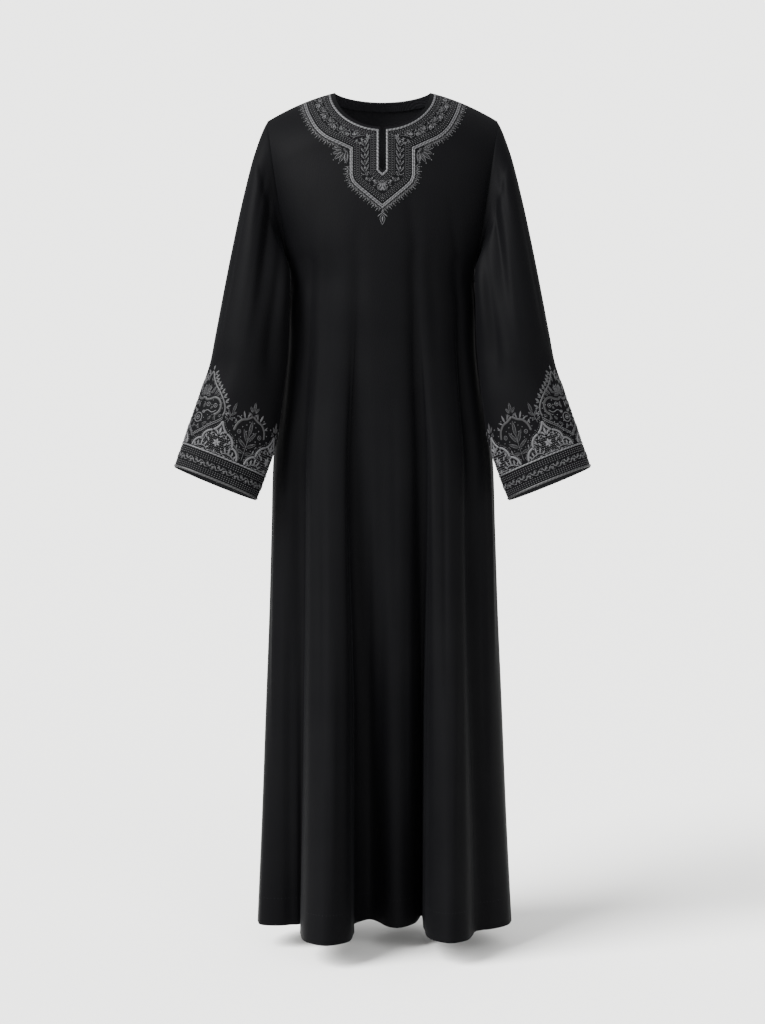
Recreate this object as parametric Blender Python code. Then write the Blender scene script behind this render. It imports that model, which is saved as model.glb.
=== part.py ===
"""Abaya: a full-length pull-over cloak with bell sleeves and an embroidered neck and cuffs.

Metres, +Z up, and the front faces -Y.  The origin lies midway between the two neck points
of the shoulder seams, where the wearer's shoulders hold the garment up.
The body is a front and a back panel that meet at the shoulder and side seams.
Each sleeve is a tube that starts on the armhole the two panels leave between them.
"""

import math
from collections import namedtuple

import bmesh
import bpy
import numpy as np

# Cloth
WALL = 0.002             # thickness of every panel and sleeve
SEAM_GAP = 0.0003        # air between two pieces along a seam
LAY_GAP = 0.0005         # air under what lies on a panel
PLATE = 0.0011           # thickness of the stitched bands
CORD = 0.0018            # height of the couched cords
CORD_WIDTH = 0.0042
YOKE_CORD_WIDTH = 0.0056 # the outer cord of the yoke is doubled

# Body
LENGTH = 1.428           # neck point to hem, straight down
NECK_HALF = 0.0815       # half of the neck opening along the shoulder seams
NECK_DROP = 0.076        # how far the front neckline hangs below the neck points
BACK_NECK_DROP = 0.002
BACK_NECK_RISE = 0.032   # how far the upper back would rise above the neck if it were not cut
SHOULDER_FROM = 0.0865   # distance from the middle at which the shoulder seam is at height 0
SHOULDER_SLOPE = 0.257
SHOULDER_CURVE = 1.556
SHOULDER_ROLL = 0.10     # height over which the cloth rolls from the shoulder to the chest
ROLL_POWER = 0.8
BACK_POWER = 0.375       # roundness of the back's sections: an ellipse would have 0.5
TIP_X = 0.198            # shoulder tip
UNDERARM_Z = -0.300
CHEST_RISE = 0.018       # how much higher the chest row lies at the centre than at the sides
SLIT_ROWS = 5            # rows of the front panel that the neck slit opens
ARMHOLE_FLARE = 0.7      # outward lean of the armhole's edge
ARMHOLE_GAP = 1.3        # seam gaps between a sleeve and the panels, measured along X

# Mesh
ARM_STEPS = 12           # rows beside the armhole, and half of the columns round a sleeve
SKIRT_STEPS = 13         # rows from the underarm to the hem
SKIRT_SPREAD = 1.25      # rows grow taller towards the hem
FRONT_COLUMNS = 45       # odd, so that the slit is one column wide
BACK_COLUMNS = 37
SHOULDER_COLUMNS = 6     # columns of each panel that end on each shoulder seam
FOLD_GROWTH = 1.6        # power of a fold's growth from its start to the hem

# Half widths and depths of the body at each level, before the folds.  `front_power` is the
# roundness of the front: 0.5 is an ellipse, and less is squarer.  `sway` is how far the
# skirt hangs to the wearer's left.
Level = namedtuple("Level", "z half_width front_depth back_depth front_power sway")
BODY_LEVELS = (
    Level(0.040, 0.2520, 0.078, 0.104, 0.375, 0.0000),
    Level(-0.048, 0.2320, 0.080, 0.106, 0.375, 0.0000),
    Level(-0.110, 0.2120, 0.092, 0.113, 0.375, 0.0000),
    Level(-0.174, 0.1970, 0.109, 0.121, 0.375, 0.0000),
    Level(-0.240, 0.1800, 0.120, 0.122, 0.380, 0.0000),
    Level(-0.275, 0.1695, 0.123, 0.120, 0.400, 0.0000),
    Level(-0.300, 0.1600, 0.124, 0.118, 0.420, 0.0000),
    Level(-0.330, 0.1590, 0.124, 0.116, 0.480, 0.0000),
    Level(-0.370, 0.1640, 0.124, 0.114, 0.530, 0.0000),
    Level(-0.440, 0.1680, 0.121, 0.112, 0.550, 0.0000),
    Level(-0.530, 0.1775, 0.117, 0.114, 0.520, 0.0005),
    Level(-0.620, 0.1875, 0.116, 0.120, 0.450, 0.0010),
    Level(-0.750, 0.1920, 0.117, 0.123, 0.420, 0.0015),
    Level(-0.880, 0.1958, 0.118, 0.126, 0.400, 0.0018),
    Level(-1.050, 0.2025, 0.120, 0.128, 0.385, 0.0020),
    Level(-1.250, 0.2100, 0.123, 0.130, 0.375, 0.0022),
    Level(-1.428, 0.2180, 0.125, 0.132, 0.375, 0.0025),
)

# The hem's course from the wearer's right side seam (-X) to the left.  `place` is where the
# cloth of that point lies on the chest (-1 to 1 between the side seams), `start` is the
# level where it leaves the plain section, and `lift` raises the hem.
Fold = namedtuple("Fold", "place x y start lift")
FRONT_FOLDS = (
    Fold(-1.00, -0.215, 0.000, -0.70, 0.000),
    Fold(-0.92, -0.207, -0.030, -0.70, 0.000),
    Fold(-0.72, -0.172, -0.036, -0.60, 0.000),
    Fold(-0.53, -0.141, -0.024, -0.40, 0.001),
    Fold(-0.46, -0.137, -0.095, -0.36, 0.000),
    Fold(-0.41, -0.122, -0.158, -0.34, 0.000),
    Fold(-0.33, -0.094, -0.180, -0.32, 0.000),
    Fold(-0.24, -0.062, -0.160, -0.34, 0.000),
    Fold(-0.19, -0.049, -0.095, -0.36, 0.000),
    Fold(-0.14, -0.042, -0.018, -0.34, 0.002),
    Fold(-0.08, -0.022, -0.006, -0.36, 0.004),
    Fold(0.00, 0.000, -0.020, -0.40, 0.002),
    Fold(0.10, 0.029, -0.043, -0.42, 0.000),
    Fold(0.17, 0.052, -0.030, -0.40, 0.002),
    Fold(0.22, 0.066, 0.008, -0.36, 0.007),
    Fold(0.27, 0.071, -0.070, -0.36, 0.002),
    Fold(0.33, 0.084, -0.140, -0.34, 0.000),
    Fold(0.41, 0.110, -0.162, -0.33, 0.000),
    Fold(0.50, 0.138, -0.142, -0.34, 0.000),
    Fold(0.55, 0.149, -0.108, -0.36, 0.000),
    Fold(0.61, 0.158, -0.076, -0.42, 0.000),
    Fold(0.75, 0.186, -0.060, -0.60, 0.000),
    Fold(0.92, 0.214, -0.030, -0.58, 0.000),
    Fold(1.00, 0.222, 0.000, -0.55, 0.000),
)
BACK_FOLDS = (
    Fold(-1.00, -0.215, 0.000, -0.70, 0.000),
    Fold(-0.92, -0.208, 0.036, -0.70, 0.000),
    Fold(-0.76, -0.180, 0.078, -0.60, 0.001),
    Fold(-0.62, -0.152, 0.080, -0.45, 0.003),
    Fold(-0.52, -0.130, 0.136, -0.40, 0.000),
    Fold(-0.42, -0.100, 0.166, -0.38, 0.000),
    Fold(-0.31, -0.068, 0.146, -0.40, 0.000),
    Fold(-0.24, -0.052, 0.086, -0.42, 0.003),
    Fold(-0.14, -0.028, 0.068, -0.44, 0.004),
    Fold(0.00, 0.000, 0.104, -0.42, 0.001),
    Fold(0.10, 0.020, 0.150, -0.40, 0.000),
    Fold(0.20, 0.046, 0.170, -0.38, 0.000),
    Fold(0.31, 0.074, 0.150, -0.40, 0.000),
    Fold(0.40, 0.090, 0.094, -0.44, 0.003),
    Fold(0.50, 0.110, 0.080, -0.46, 0.004),
    Fold(0.62, 0.136, 0.116, -0.46, 0.001),
    Fold(0.74, 0.162, 0.130, -0.50, 0.000),
    Fold(0.86, 0.192, 0.084, -0.60, 0.000),
    Fold(0.94, 0.215, 0.036, -0.58, 0.000),
    Fold(1.00, 0.222, 0.000, -0.55, 0.000),
)

# Left sleeve (+X), from the armhole to the cuff: the outer and inner lines of each ring, the
# depth of its middle, half of its thickness, and how far its front lies above its back.
Ring = namedtuple("Ring", "outer_x outer_z inner_x inner_z middle_y half_depth tilt")
SLEEVE_RINGS = (
    Ring(0.1980, -0.0480, 0.1600, -0.3000, 0.000, 0.056, 0.0),
    Ring(0.2065, -0.0680, 0.1675, -0.3013, -0.004, 0.057, 0.0),
    Ring(0.2158, -0.0970, 0.1705, -0.3110, -0.012, 0.058, 0.0),
    Ring(0.2250, -0.1333, 0.1665, -0.3300, -0.025, 0.059, 0.0),
    Ring(0.2420, -0.2124, 0.1635, -0.3680, -0.042, 0.060, 0.0),
    Ring(0.2622, -0.3167, 0.1595, -0.4180, -0.055, 0.060, 0.0),
    Ring(0.2812, -0.4203, 0.1600, -0.4630, -0.062, 0.059, 0.0),
    Ring(0.2910, -0.4718, 0.1635, -0.4970, -0.065, 0.057, 0.0),
    Ring(0.3060, -0.5180, 0.1700, -0.5450, -0.069, 0.054, 0.001),
    Ring(0.3200, -0.5600, 0.1795, -0.6030, -0.073, 0.050, 0.002),
    Ring(0.3343, -0.6035, 0.1971, -0.6589, -0.077, 0.047, 0.003),
    Ring(0.3491, -0.6471, 0.2137, -0.7018, -0.080, 0.045, 0.004),
)
CUFF_BAND = 0.046        # distance between the last two rings
SETTLE_RINGS = 3.0       # rings over which the armhole's shape becomes the sleeve's
SLEEVE_ROWS = (0, 0.5, 1, 2, 3, 4, 5, 6, 6.5, 7, 7.5, 8, 9, 10, 11)

# Long folds of the sleeves: angle from the outer line towards the front, and the rings
# between which the cloth sinks in.
SleeveFold = namedtuple("SleeveFold", "angle width depth first last")
SLEEVE_FOLDS = (
    SleeveFold(98.0, 17.0, 0.009, 1.0, 6.6),
    SleeveFold(130.0, 18.0, 0.006, 3.5, 8.6),
    SleeveFold(52.0, 18.0, 0.004, 5.6, 9.0),
    SleeveFold(208.0, 26.0, 0.009, 2.5, 9.0),
    SleeveFold(248.0, 20.0, 0.007, 1.5, 7.6),
    SleeveFold(302.0, 18.0, 0.006, 4.0, 9.0),
)

# The sleeve's front hangs towards the body below the armhole and covers the gap there
DRAPE_ANGLE = 145.0
DRAPE_WIDTH = 28.0
DRAPE_FIRST = 0.1
DRAPE_LAST = 6.2
DRAPE_SHIFT = (-0.014, -0.012, 0.0)

# Yoke: the outer cord's half at +X, from the shoulder seam to the point below the slit
OutlinePoint = namedtuple("OutlinePoint", "x z")
YOKE_SHOULDER = (
    OutlinePoint(0.1335, -0.0170),
    OutlinePoint(0.1285, -0.0370),
    OutlinePoint(0.1210, -0.0560),
    OutlinePoint(0.1110, -0.0745),
    OutlinePoint(0.0965, -0.0895),
    OutlinePoint(0.0730, -0.1020),
    OutlinePoint(0.0520, -0.1125),
)
YOKE_POINT = (
    OutlinePoint(0.0520, -0.1590),
    OutlinePoint(0.0490, -0.1695),
    OutlinePoint(0.0405, -0.1790),
    OutlinePoint(0.0280, -0.1900),
    OutlinePoint(0.0000, -0.2140),
)
NECK_CORD_HALF = 0.0908   # half width and depth of the curve that the neck cord follows
NECK_CORD_DROP = 0.0812
SLIT_CORD_X = 0.0079     # middle of the cord beside the slit
SLIT_CORD_END = -0.1520
SLIT_CORD_TIP = -0.1600
SEAM_MARGIN = 0.0035     # the bands stop this far below the shoulder seam
NECK_STEPS = 12          # steps of the neck cord's path from the shoulder to the slit
SHOULDER_STEPS = 11      # steps of the outer cord's path from the shoulder to its corner
POINT_STEPS = 6          # steps of its path round the point
YOKE_STEPS = (16, 5, 6)  # steps of the band: to the corner, down the slit, to the point
YOKE_ROWS = 5
CORD_STEP = 0.012        # longest step of a cord
NUDGE = 0.0001           # distance over which a surface's slope is measured

# Cuffs: distances from the cuff's edge
CUFF_CORD_AT = 0.0032
CUFF_PLATE_FROM = 0.0060
CUFF_PLATE_TO = 0.0400
CUFF_TOP_CORD_AT = 0.0428

FACING_HEIGHT = 0.010    # strip inside the back neck
FACING = 0.0010


def smooth(knots, values, at):
    """Cubic curve through the values at rising knots, without corners."""
    knots = np.asarray(knots, dtype=float)
    values = np.asarray(values, dtype=float)
    steps = np.diff(knots)
    rates = np.diff(values) / steps
    slopes = np.empty_like(values)
    slopes[0] = rates[0]
    slopes[-1] = rates[-1]
    slopes[1:-1] = (rates[:-1] * steps[1:] + rates[1:] * steps[:-1]) / (steps[1:] + steps[:-1])
    at = np.clip(at, knots[0], knots[-1])
    k = np.clip(np.searchsorted(knots, at) - 1, 0, len(steps) - 1)
    h = steps[k]
    t = (at - knots[k]) / h
    start = values[k] * (1 + 2 * t) * (1 - t) ** 2 + slopes[k] * h * t * (1 - t) ** 2
    end = values[k + 1] * t ** 2 * (3 - 2 * t) + slopes[k + 1] * h * t ** 2 * (t - 1)
    return start + end


def column(rows, name):
    """One named column of a table."""
    return np.array([getattr(row, name) for row in rows])


# ---------------------------------------------------------------- surfaces of the body

def shoulder_height(x):
    """Height of the shoulder seam at a distance from the middle."""
    d = np.maximum(np.abs(x), NECK_HALF) - SHOULDER_FROM
    return -(SHOULDER_SLOPE * d + SHOULDER_CURVE * d * d)


TIP_Z = float(shoulder_height(TIP_X))
ARMHOLE_MIDDLE = (TIP_Z + UNDERARM_Z) / 2
ARMHOLE_HALF = (TIP_Z - UNDERARM_Z) / 2


def level_value(z, name):
    """A column of the body's levels at a height."""
    return smooth(-column(BODY_LEVELS, "z"), column(BODY_LEVELS, name), -z)


def body_depth(x, z, back):
    """How far the plain body stands out in front of, or behind, the shoulder line."""
    ratio = np.minimum(np.abs(x) / level_value(z, "half_width"), 1.0)
    ridge = shoulder_height(x)
    if back:
        ridge = ridge + BACK_NECK_RISE * np.maximum(1 - (x / NECK_HALF) ** 2, 0.0)
    drop = np.clip((ridge - z) / SHOULDER_ROLL, 0.0, 1.0)
    roll = np.sin(math.pi / 2 * drop ** ROLL_POWER)
    depth = level_value(z, "back_depth" if back else "front_depth")
    power = BACK_POWER if back else level_value(z, "front_power")
    return depth * (1 - ratio ** 2) ** power * roll


def body_point(x, z, back):
    """A point of the plain body's middle surface."""
    side = 1.0 if back else -1.0
    y = side * (body_depth(x, z, back) + SEAM_GAP / 2)
    return np.stack(np.broadcast_arrays(x, y, z), axis=-1)


def fold_shares(folds):
    """Each hem point's share of the hem, -1 to 1, with the centre at 0."""
    x = column(folds, "x")
    y = column(folds, "y")
    run = np.concatenate(([0.0], np.cumsum(np.hypot(np.diff(x), np.diff(y)))))
    centre = run[int(np.argmin(np.abs(column(folds, "place"))))]
    return np.where(run < centre, (run - centre) / centre, (run - centre) / (run[-1] - centre))


def top_edge(share, columns, back):
    """x and z of a panel's top edge: the neckline, then the shoulder seams."""
    neck_share = 1 - 2 * SHOULDER_COLUMNS / columns
    along = np.minimum(np.abs(share) / neck_share, 1.0)
    out = np.clip((np.abs(share) - neck_share) / (1 - neck_share), 0.0, 1.0)
    x = np.sign(share) * (NECK_HALF * np.sin(math.pi / 2 * along) + (TIP_X - NECK_HALF) * out)
    drop = BACK_NECK_DROP if back else NECK_DROP
    return x, shoulder_height(x) - drop * np.cos(math.pi / 2 * along)


def panel_grid(folds, columns, back):
    """Middle surface of the front or back panel, indexed [row][column]."""
    share = np.linspace(-1, 1, columns + 1)
    shares = fold_shares(folds)
    place = smooth(shares, column(folds, "place"), share)
    start = smooth(shares, column(folds, "start"), share)
    hem_x = smooth(shares, column(folds, "x"), share)
    hem_y = smooth(shares, column(folds, "y"), share)
    hem_z = -LENGTH + smooth(shares, column(folds, "lift"), share)
    hem_z[0] = hem_z[-1] = -LENGTH

    top_x, top_z = top_edge(share, columns, back)
    chest_z = UNDERARM_Z + CHEST_RISE * (1 - share ** 2)
    chest_x = level_value(chest_z, "half_width") * np.sin(math.pi / 2 * place)
    plain_x = level_value(hem_z, "half_width") * np.sin(math.pi / 2 * place)
    plain_hem = body_point(plain_x, hem_z, back)
    plain_hem[:, 0] += level_value(hem_z, "sway")

    rows = []
    for j in range(ARM_STEPS):
        down = (1 - math.cos(math.pi * j / ARM_STEPS)) / 2
        x = top_x + (chest_x - top_x) * down
        rows.append(body_point(x, top_z + (chest_z - top_z) * down, back))
    for j in range(SKIRT_STEPS + 1):
        down = (j / SKIRT_STEPS) ** SKIRT_SPREAD
        z = chest_z + (hem_z - chest_z) * down
        x = level_value(z, "half_width") * np.sin(math.pi / 2 * place)
        points = body_point(x, z, back)
        points[:, 0] += level_value(z, "sway")
        amount = np.clip((start - z) / (start - hem_z), 0.0, 1.0) ** FOLD_GROWTH
        points[:, 0] += amount * (hem_x - plain_hem[:, 0])
        points[:, 1] += amount * (hem_y - plain_hem[:, 1])
        rows.append(points)
    grid = np.array(rows)
    # both side seams lie in one plane, half a gap from the middle
    grid[ARM_STEPS:, 0, 1] = grid[ARM_STEPS:, -1, 1] = (1 if back else -1) * SEAM_GAP / 2
    return grid[:, ::-1] if back else grid


def armhole_lean(points):
    """Direction across the cloth's thickness at points of an armhole's edge."""
    rise = np.clip((points[:, 2] - ARMHOLE_MIDDLE) / ARMHOLE_HALF, -1.0, 1.0)
    lean = np.zeros_like(points)
    lean[:, 0] = ARMHOLE_FLARE * np.sign(points[:, 0])
    lean[:, 1] = np.sign(points[:, 1]) * np.sqrt(1 - rise ** 2)
    lean[:, 2] = rise
    return lean / np.linalg.norm(lean, axis=1)[:, None]


def grid_normals(grid, closed=False):
    """Outward unit normals of a grid whose columns run right and rows run down."""
    if closed:
        ring = grid[:, :-1]
        across = np.roll(ring, -1, axis=1) - np.roll(ring, 1, axis=1)
        across = np.concatenate((across, across[:, :1]), axis=1)
    else:
        across = np.gradient(grid, axis=1)
    normals = np.cross(np.gradient(grid, axis=0), across)
    return normals / np.linalg.norm(normals, axis=2)[:, :, None]


def panel_normals(grid):
    """Normals of a panel, turned at the seams so that its neighbours meet it edge to edge."""
    normals = grid_normals(grid)
    shoulders = np.abs(grid[0, :, 0]) >= NECK_HALF - 1e-6
    normals[0, shoulders, 1] = 0.0
    normals[ARM_STEPS:, [0, -1], 1] = 0.0
    normals /= np.linalg.norm(normals, axis=2)[:, :, None]
    for side in (0, -1):
        normals[:ARM_STEPS + 1, side] = armhole_lean(grid[:ARM_STEPS + 1, side])
    return normals


# ---------------------------------------------------------------- surface of the sleeves

def armhole_loop():
    """The left armhole's edge: down the front from the shoulder tip, and up the back."""
    front = panel_grid(FRONT_FOLDS, FRONT_COLUMNS, False)[:ARM_STEPS + 1, -1]
    back = panel_grid(BACK_FOLDS, BACK_COLUMNS, True)[:ARM_STEPS + 1, 0]
    return np.concatenate((front, back[-2::-1]))


def sleeve_grid():
    """Middle surface and normals of the left sleeve, indexed [ring][step round it]."""
    loop = armhole_loop()
    loop[[0, ARM_STEPS, -1], 1] = 0.0
    lean = armhole_lean(loop)
    loop[:, 0] += SEAM_GAP * ARMHOLE_GAP
    index = np.arange(len(SLEEVE_RINGS))
    turn = np.linspace(0, 2 * math.pi, 2 * ARM_STEPS + 1)
    rings = []
    for row in SLEEVE_ROWS:
        value = {name: smooth(index, column(SLEEVE_RINGS, name), row) for name in Ring._fields}
        outer = np.array([value["outer_x"], value["middle_y"], value["outer_z"]])
        inner = np.array([value["inner_x"], value["middle_y"], value["inner_z"]])
        spoke = (outer - inner) / 2
        thick = np.array([0.0, -value["half_depth"], value["tilt"]])
        cos = np.cos(turn)[:, None]
        sin = np.sin(turn)[:, None]
        ring = (outer + inner) / 2 + spoke * cos + thick * sin
        inward = -(spoke / np.linalg.norm(spoke) * cos + thick / np.linalg.norm(thick) * sin)
        for fold in SLEEVE_FOLDS:
            if fold.first < row < fold.last:
                swell = math.sin(math.pi * (row - fold.first) / (fold.last - fold.first)) ** 2
                away = (np.degrees(turn) - fold.angle) / fold.width
                ring += inward * (fold.depth * swell * np.exp(-away ** 2))[:, None]
        if DRAPE_FIRST < row < DRAPE_LAST:
            swell = math.sin(math.pi * (row - DRAPE_FIRST) / (DRAPE_LAST - DRAPE_FIRST)) ** 2
            away = (np.degrees(turn) - DRAPE_ANGLE) / DRAPE_WIDTH
            ring += np.outer(swell * np.exp(-away ** 2), DRAPE_SHIFT)
        if row == 0:
            drift = loop - ring
        ring += drift * max(0.0, 1 - row / SETTLE_RINGS) ** 2
        rings.append(ring)
    grid = np.array(rings)
    # the rings run to the left seen from outside, the other way round from the panels' rows
    normals = -grid_normals(grid, closed=True)
    normals[0] = lean
    return grid, normals


def mirrored(grid):
    """The same points or directions on the other side."""
    return grid * np.array([-1.0, 1.0, 1.0])


# ---------------------------------------------------------------- building

def wall(name, inner, outer, material, closed=False, slit=None):
    """A closed solid between two matching grids of points."""
    rows = inner.shape[0] - 1
    columns = inner.shape[1] - 1
    bm = bmesh.new()
    bmesh.ops.create_grid(bm, x_segments=columns, y_segments=rows, size=1.0)
    place = bm.verts.layers.int.new("place")
    inside = inner.reshape(-1, 3)
    outside = outer.reshape(-1, 3)
    bm.verts.ensure_lookup_table()
    for i, vert in enumerate(bm.verts):
        vert[place] = i
        vert.co = inside[i]
    if slit:
        bm.faces.ensure_lookup_table()
        doomed = [bm.faces[j * columns + columns // 2] for j in range(slit)]
        bmesh.ops.delete(bm, geom=doomed, context="FACES")
    if closed:
        bmesh.ops.remove_doubles(bm, verts=bm.verts[:], dist=1e-6)
    skin = bmesh.ops.extrude_face_region(bm, geom=bm.faces[:])
    for vert in skin["geom"]:
        if isinstance(vert, bmesh.types.BMVert):
            vert.co = outside[vert[place]]
    bmesh.ops.recalc_face_normals(bm, faces=bm.faces[:])
    if bm.calc_volume(signed=True) < 0:
        bmesh.ops.reverse_faces(bm, faces=bm.faces[:])
    mesh = bpy.data.meshes.new(name)
    bm.to_mesh(mesh)
    bm.free()
    mesh.shade_smooth()
    mesh.set_sharp_from_angle(angle=math.radians(40))
    mesh.materials.append(material)
    part = bpy.data.objects.new(name, mesh)
    bpy.data.collections["Abaya"].objects.link(part)
    return part


def cloth(name, grid, normals, material, **options):
    """A wall of the cloth's thickness about its middle surface."""
    half = normals * WALL / 2
    return wall(name, grid - half, grid + half, material, **options)


def laid_on(name, grid, normals, thickness, material, **options):
    """A wall that lies on the outside of the cloth."""
    base = WALL / 2 + LAY_GAP
    return wall(name, grid + normals * base, grid + normals * (base + thickness),
                material, **options)


def dyed(name, color, roughness):
    """A plain cloth or thread material."""
    material = bpy.data.materials.new(name)
    material.use_nodes = True
    shader = material.node_tree.nodes["Principled BSDF"]
    shader.inputs["Base Color"].default_value = (*color, 1.0)
    shader.inputs["Roughness"].default_value = roughness
    shader.inputs["Metallic"].default_value = 0.0
    return material


# ---------------------------------------------------------------- the yoke's bands

def sampled(path, spacing):
    """A path with points no further apart than the spacing, its corners kept."""
    points = [np.array(path[0])]
    for a, b in zip(path[:-1], path[1:]):
        steps = max(1, math.ceil(float(np.linalg.norm(np.subtract(b, a))) / spacing))
        for k in range(1, steps + 1):
            points.append(np.array(a) + np.subtract(b, a) * k / steps)
    return np.array(points)


def rounded(points, steps):
    """A smooth curve through a few outline points."""
    x = column(points, "x")
    z = column(points, "z")
    run = np.concatenate(([0.0], np.cumsum(np.hypot(np.diff(x), np.diff(z)))))
    at = np.linspace(0, run[-1], steps + 1)
    return list(zip(smooth(run, x, at), smooth(run, z, at)))


def neck_cord_path():
    """Half of the neck cord at +X: round the neckline, down the slit, to its point."""
    first = math.asin(SEAM_MARGIN / NECK_CORD_DROP)
    last = math.acos(SLIT_CORD_X / NECK_CORD_HALF)
    path = []
    for k in range(NECK_STEPS + 1):
        turn = first + (last - first) * k / NECK_STEPS
        path.append((NECK_CORD_HALF * math.cos(turn), -NECK_CORD_DROP * math.sin(turn)))
    path.append((SLIT_CORD_X, SLIT_CORD_END))
    path.append((0.0, SLIT_CORD_TIP))
    return path


def yoke_cord_path():
    """Half of the outer cord at +X: from the shoulder seam to the yoke's point."""
    path = rounded(YOKE_SHOULDER, SHOULDER_STEPS) + rounded(YOKE_POINT, POINT_STEPS)
    top = path[0]
    return [(top[0], top[1] - SEAM_MARGIN)] + path[1:]


def both_halves(path):
    """A half at +X and its mirror image as one path that runs towards +X."""
    left = [(-x, z) for x, z in path[:-1]]
    return np.array(left + path[::-1])


def beside(path, distance):
    """A path moved sideways by a distance, with mitred corners."""
    steps = np.diff(path, axis=0)
    steps /= np.linalg.norm(steps, axis=1)[:, None]
    sides = np.stack((-steps[:, 1], steps[:, 0]), axis=1)
    joint = np.concatenate((sides[:1], sides[:-1] + sides[1:], sides[-1:]))
    joint /= np.linalg.norm(joint, axis=1)[:, None]
    width = np.concatenate((sides[:1], sides[1:], sides[-1:]))
    reach = np.maximum(np.sum(joint * width, axis=1), 0.5)
    return path + joint * (distance / reach)[:, None]


def chest_band(name, upper, lower, rows, thickness, material):
    """A band on the front panel between two matching paths of x and z."""
    share = np.linspace(0, 1, rows + 1)[:, None, None]
    flat = upper[None] * (1 - share) + lower[None] * share
    grid = body_point(flat[:, :, 0], flat[:, :, 1], False)
    right = body_point(flat[:, :, 0] + NUDGE, flat[:, :, 1], False)
    left = body_point(flat[:, :, 0] - NUDGE, flat[:, :, 1], False)
    below = body_point(flat[:, :, 0], flat[:, :, 1] - NUDGE, False)
    above = body_point(flat[:, :, 0], flat[:, :, 1] + NUDGE, False)
    normals = np.cross(below - above, right - left)
    normals /= np.linalg.norm(normals, axis=2)[:, :, None]
    return laid_on(name, grid, normals, thickness, material)


def chest_cord(name, half_path, width, material):
    """A flat cord laid along a path on the front panel."""
    path = sampled(both_halves(half_path), CORD_STEP)
    upper = beside(path, width / 2)
    lower = beside(path, -width / 2)
    return chest_band(name, upper, lower, 1, CORD, material)


def matched(path, counts, corners):
    """A path cut at its corners and sampled so many times between them."""
    parts = []
    for count, first, last in zip(counts, corners[:-1], corners[1:]):
        piece = np.array(path[first:last + 1])
        run = np.concatenate(([0.0], np.cumsum(np.linalg.norm(np.diff(piece, axis=0), axis=1))))
        at = np.linspace(0, run[-1], count + 1)[:-1]
        parts += list(zip(np.interp(at, run, piece[:, 0]), np.interp(at, run, piece[:, 1])))
    return parts + [tuple(path[corners[-1]])]


def yoke_plate(material):
    """The stitched band between the neck cord and the outer cord."""
    inner = neck_cord_path()
    outer = yoke_cord_path()
    slit_end = NECK_STEPS + 1
    corner = SHOULDER_STEPS
    inner = matched(inner, YOKE_STEPS, (0, NECK_STEPS, slit_end, slit_end + 1))
    outer = matched(outer, YOKE_STEPS, (0, corner, corner + 1, corner + 1 + POINT_STEPS))
    upper = beside(both_halves(inner), -CORD_WIDTH / 2 - SEAM_GAP)
    lower = beside(both_halves(outer), YOKE_CORD_WIDTH / 2 + SEAM_GAP)
    return chest_band("yoke_plate", upper, lower, YOKE_ROWS, PLATE, material)


# ---------------------------------------------------------------- the cuffs' bands

def cuff_band(name, grid, normals, near, far, thickness, material):
    """A band round a sleeve between two distances from the cuff's edge."""
    share = np.array([far, near])[:, None, None] / CUFF_BAND
    points = grid[-1] + (grid[-2] - grid[-1]) * share
    leans = normals[-1] + (normals[-2] - normals[-1]) * share
    leans /= np.linalg.norm(leans, axis=2)[:, :, None]
    return laid_on(name, points, leans, thickness, material, closed=True)


def cuff(side, grid, normals, thread, cord):
    """One cuff's stitched band and its two cords."""
    half = CORD_WIDTH / 2
    cuff_band(f"cuff_plate_{side}", grid, normals, CUFF_PLATE_FROM, CUFF_PLATE_TO, PLATE, thread)
    for place, at in (("edge", CUFF_CORD_AT), ("top", CUFF_TOP_CORD_AT)):
        name = f"cuff_{place}_cord_{side}"
        cuff_band(name, grid, normals, at - half, at + half, CORD, cord)


def neck_facing(back_grid, back_normals, material):
    """The narrow strip inside the back neck, made from the back panel's own points."""
    neck = np.abs(back_grid[0, :, 0]) < NECK_HALF - 1e-6
    points = back_grid[:3, neck]
    leans = back_normals[:3, neck]
    depth = points[0, :, 2] - points[:, :, 2]
    share = ((FACING_HEIGHT - depth[1]) / (depth[2] - depth[1]))[:, None]
    points[2] = points[1] + (points[2] - points[1]) * share
    leans[2] = leans[1] + (leans[2] - leans[1]) * share
    base = WALL / 2 + LAY_GAP
    return wall("neck_facing", points - leans * (base + FACING), points - leans * base, material)


def main():
    for thing in list(bpy.data.objects):
        bpy.data.objects.remove(thing, do_unlink=True)
    bpy.context.scene.collection.children.link(bpy.data.collections.new("Abaya"))

    crepe = dyed("Black crepe", (0.010, 0.010, 0.012), 0.62)
    lining = dyed("Neck tape", (0.030, 0.030, 0.033), 0.70)
    thread = dyed("Grey embroidery", (0.110, 0.110, 0.112), 0.55)
    cord = dyed("Silver cord", (0.300, 0.300, 0.305), 0.45)

    front = panel_grid(FRONT_FOLDS, FRONT_COLUMNS, False)
    back = panel_grid(BACK_FOLDS, BACK_COLUMNS, True)
    back_normals = panel_normals(back)
    cloth("front_panel", front, panel_normals(front), crepe, slit=SLIT_ROWS)
    cloth("back_panel", back, back_normals, crepe)
    neck_facing(back, back_normals, lining)

    left, left_normals = sleeve_grid()
    right = mirrored(left)
    right_normals = mirrored(left_normals)
    for side, grid, normals in (("left", left, left_normals), ("right", right, right_normals)):
        cloth(f"sleeve_{side}", grid, normals, crepe, closed=True)
        cuff(side, grid, normals, thread, cord)

    chest_cord("neck_cord", neck_cord_path(), CORD_WIDTH, cord)
    chest_cord("yoke_cord", yoke_cord_path(), YOKE_CORD_WIDTH, cord)
    yoke_plate(thread)


main()
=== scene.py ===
import math
from collections import namedtuple

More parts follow.
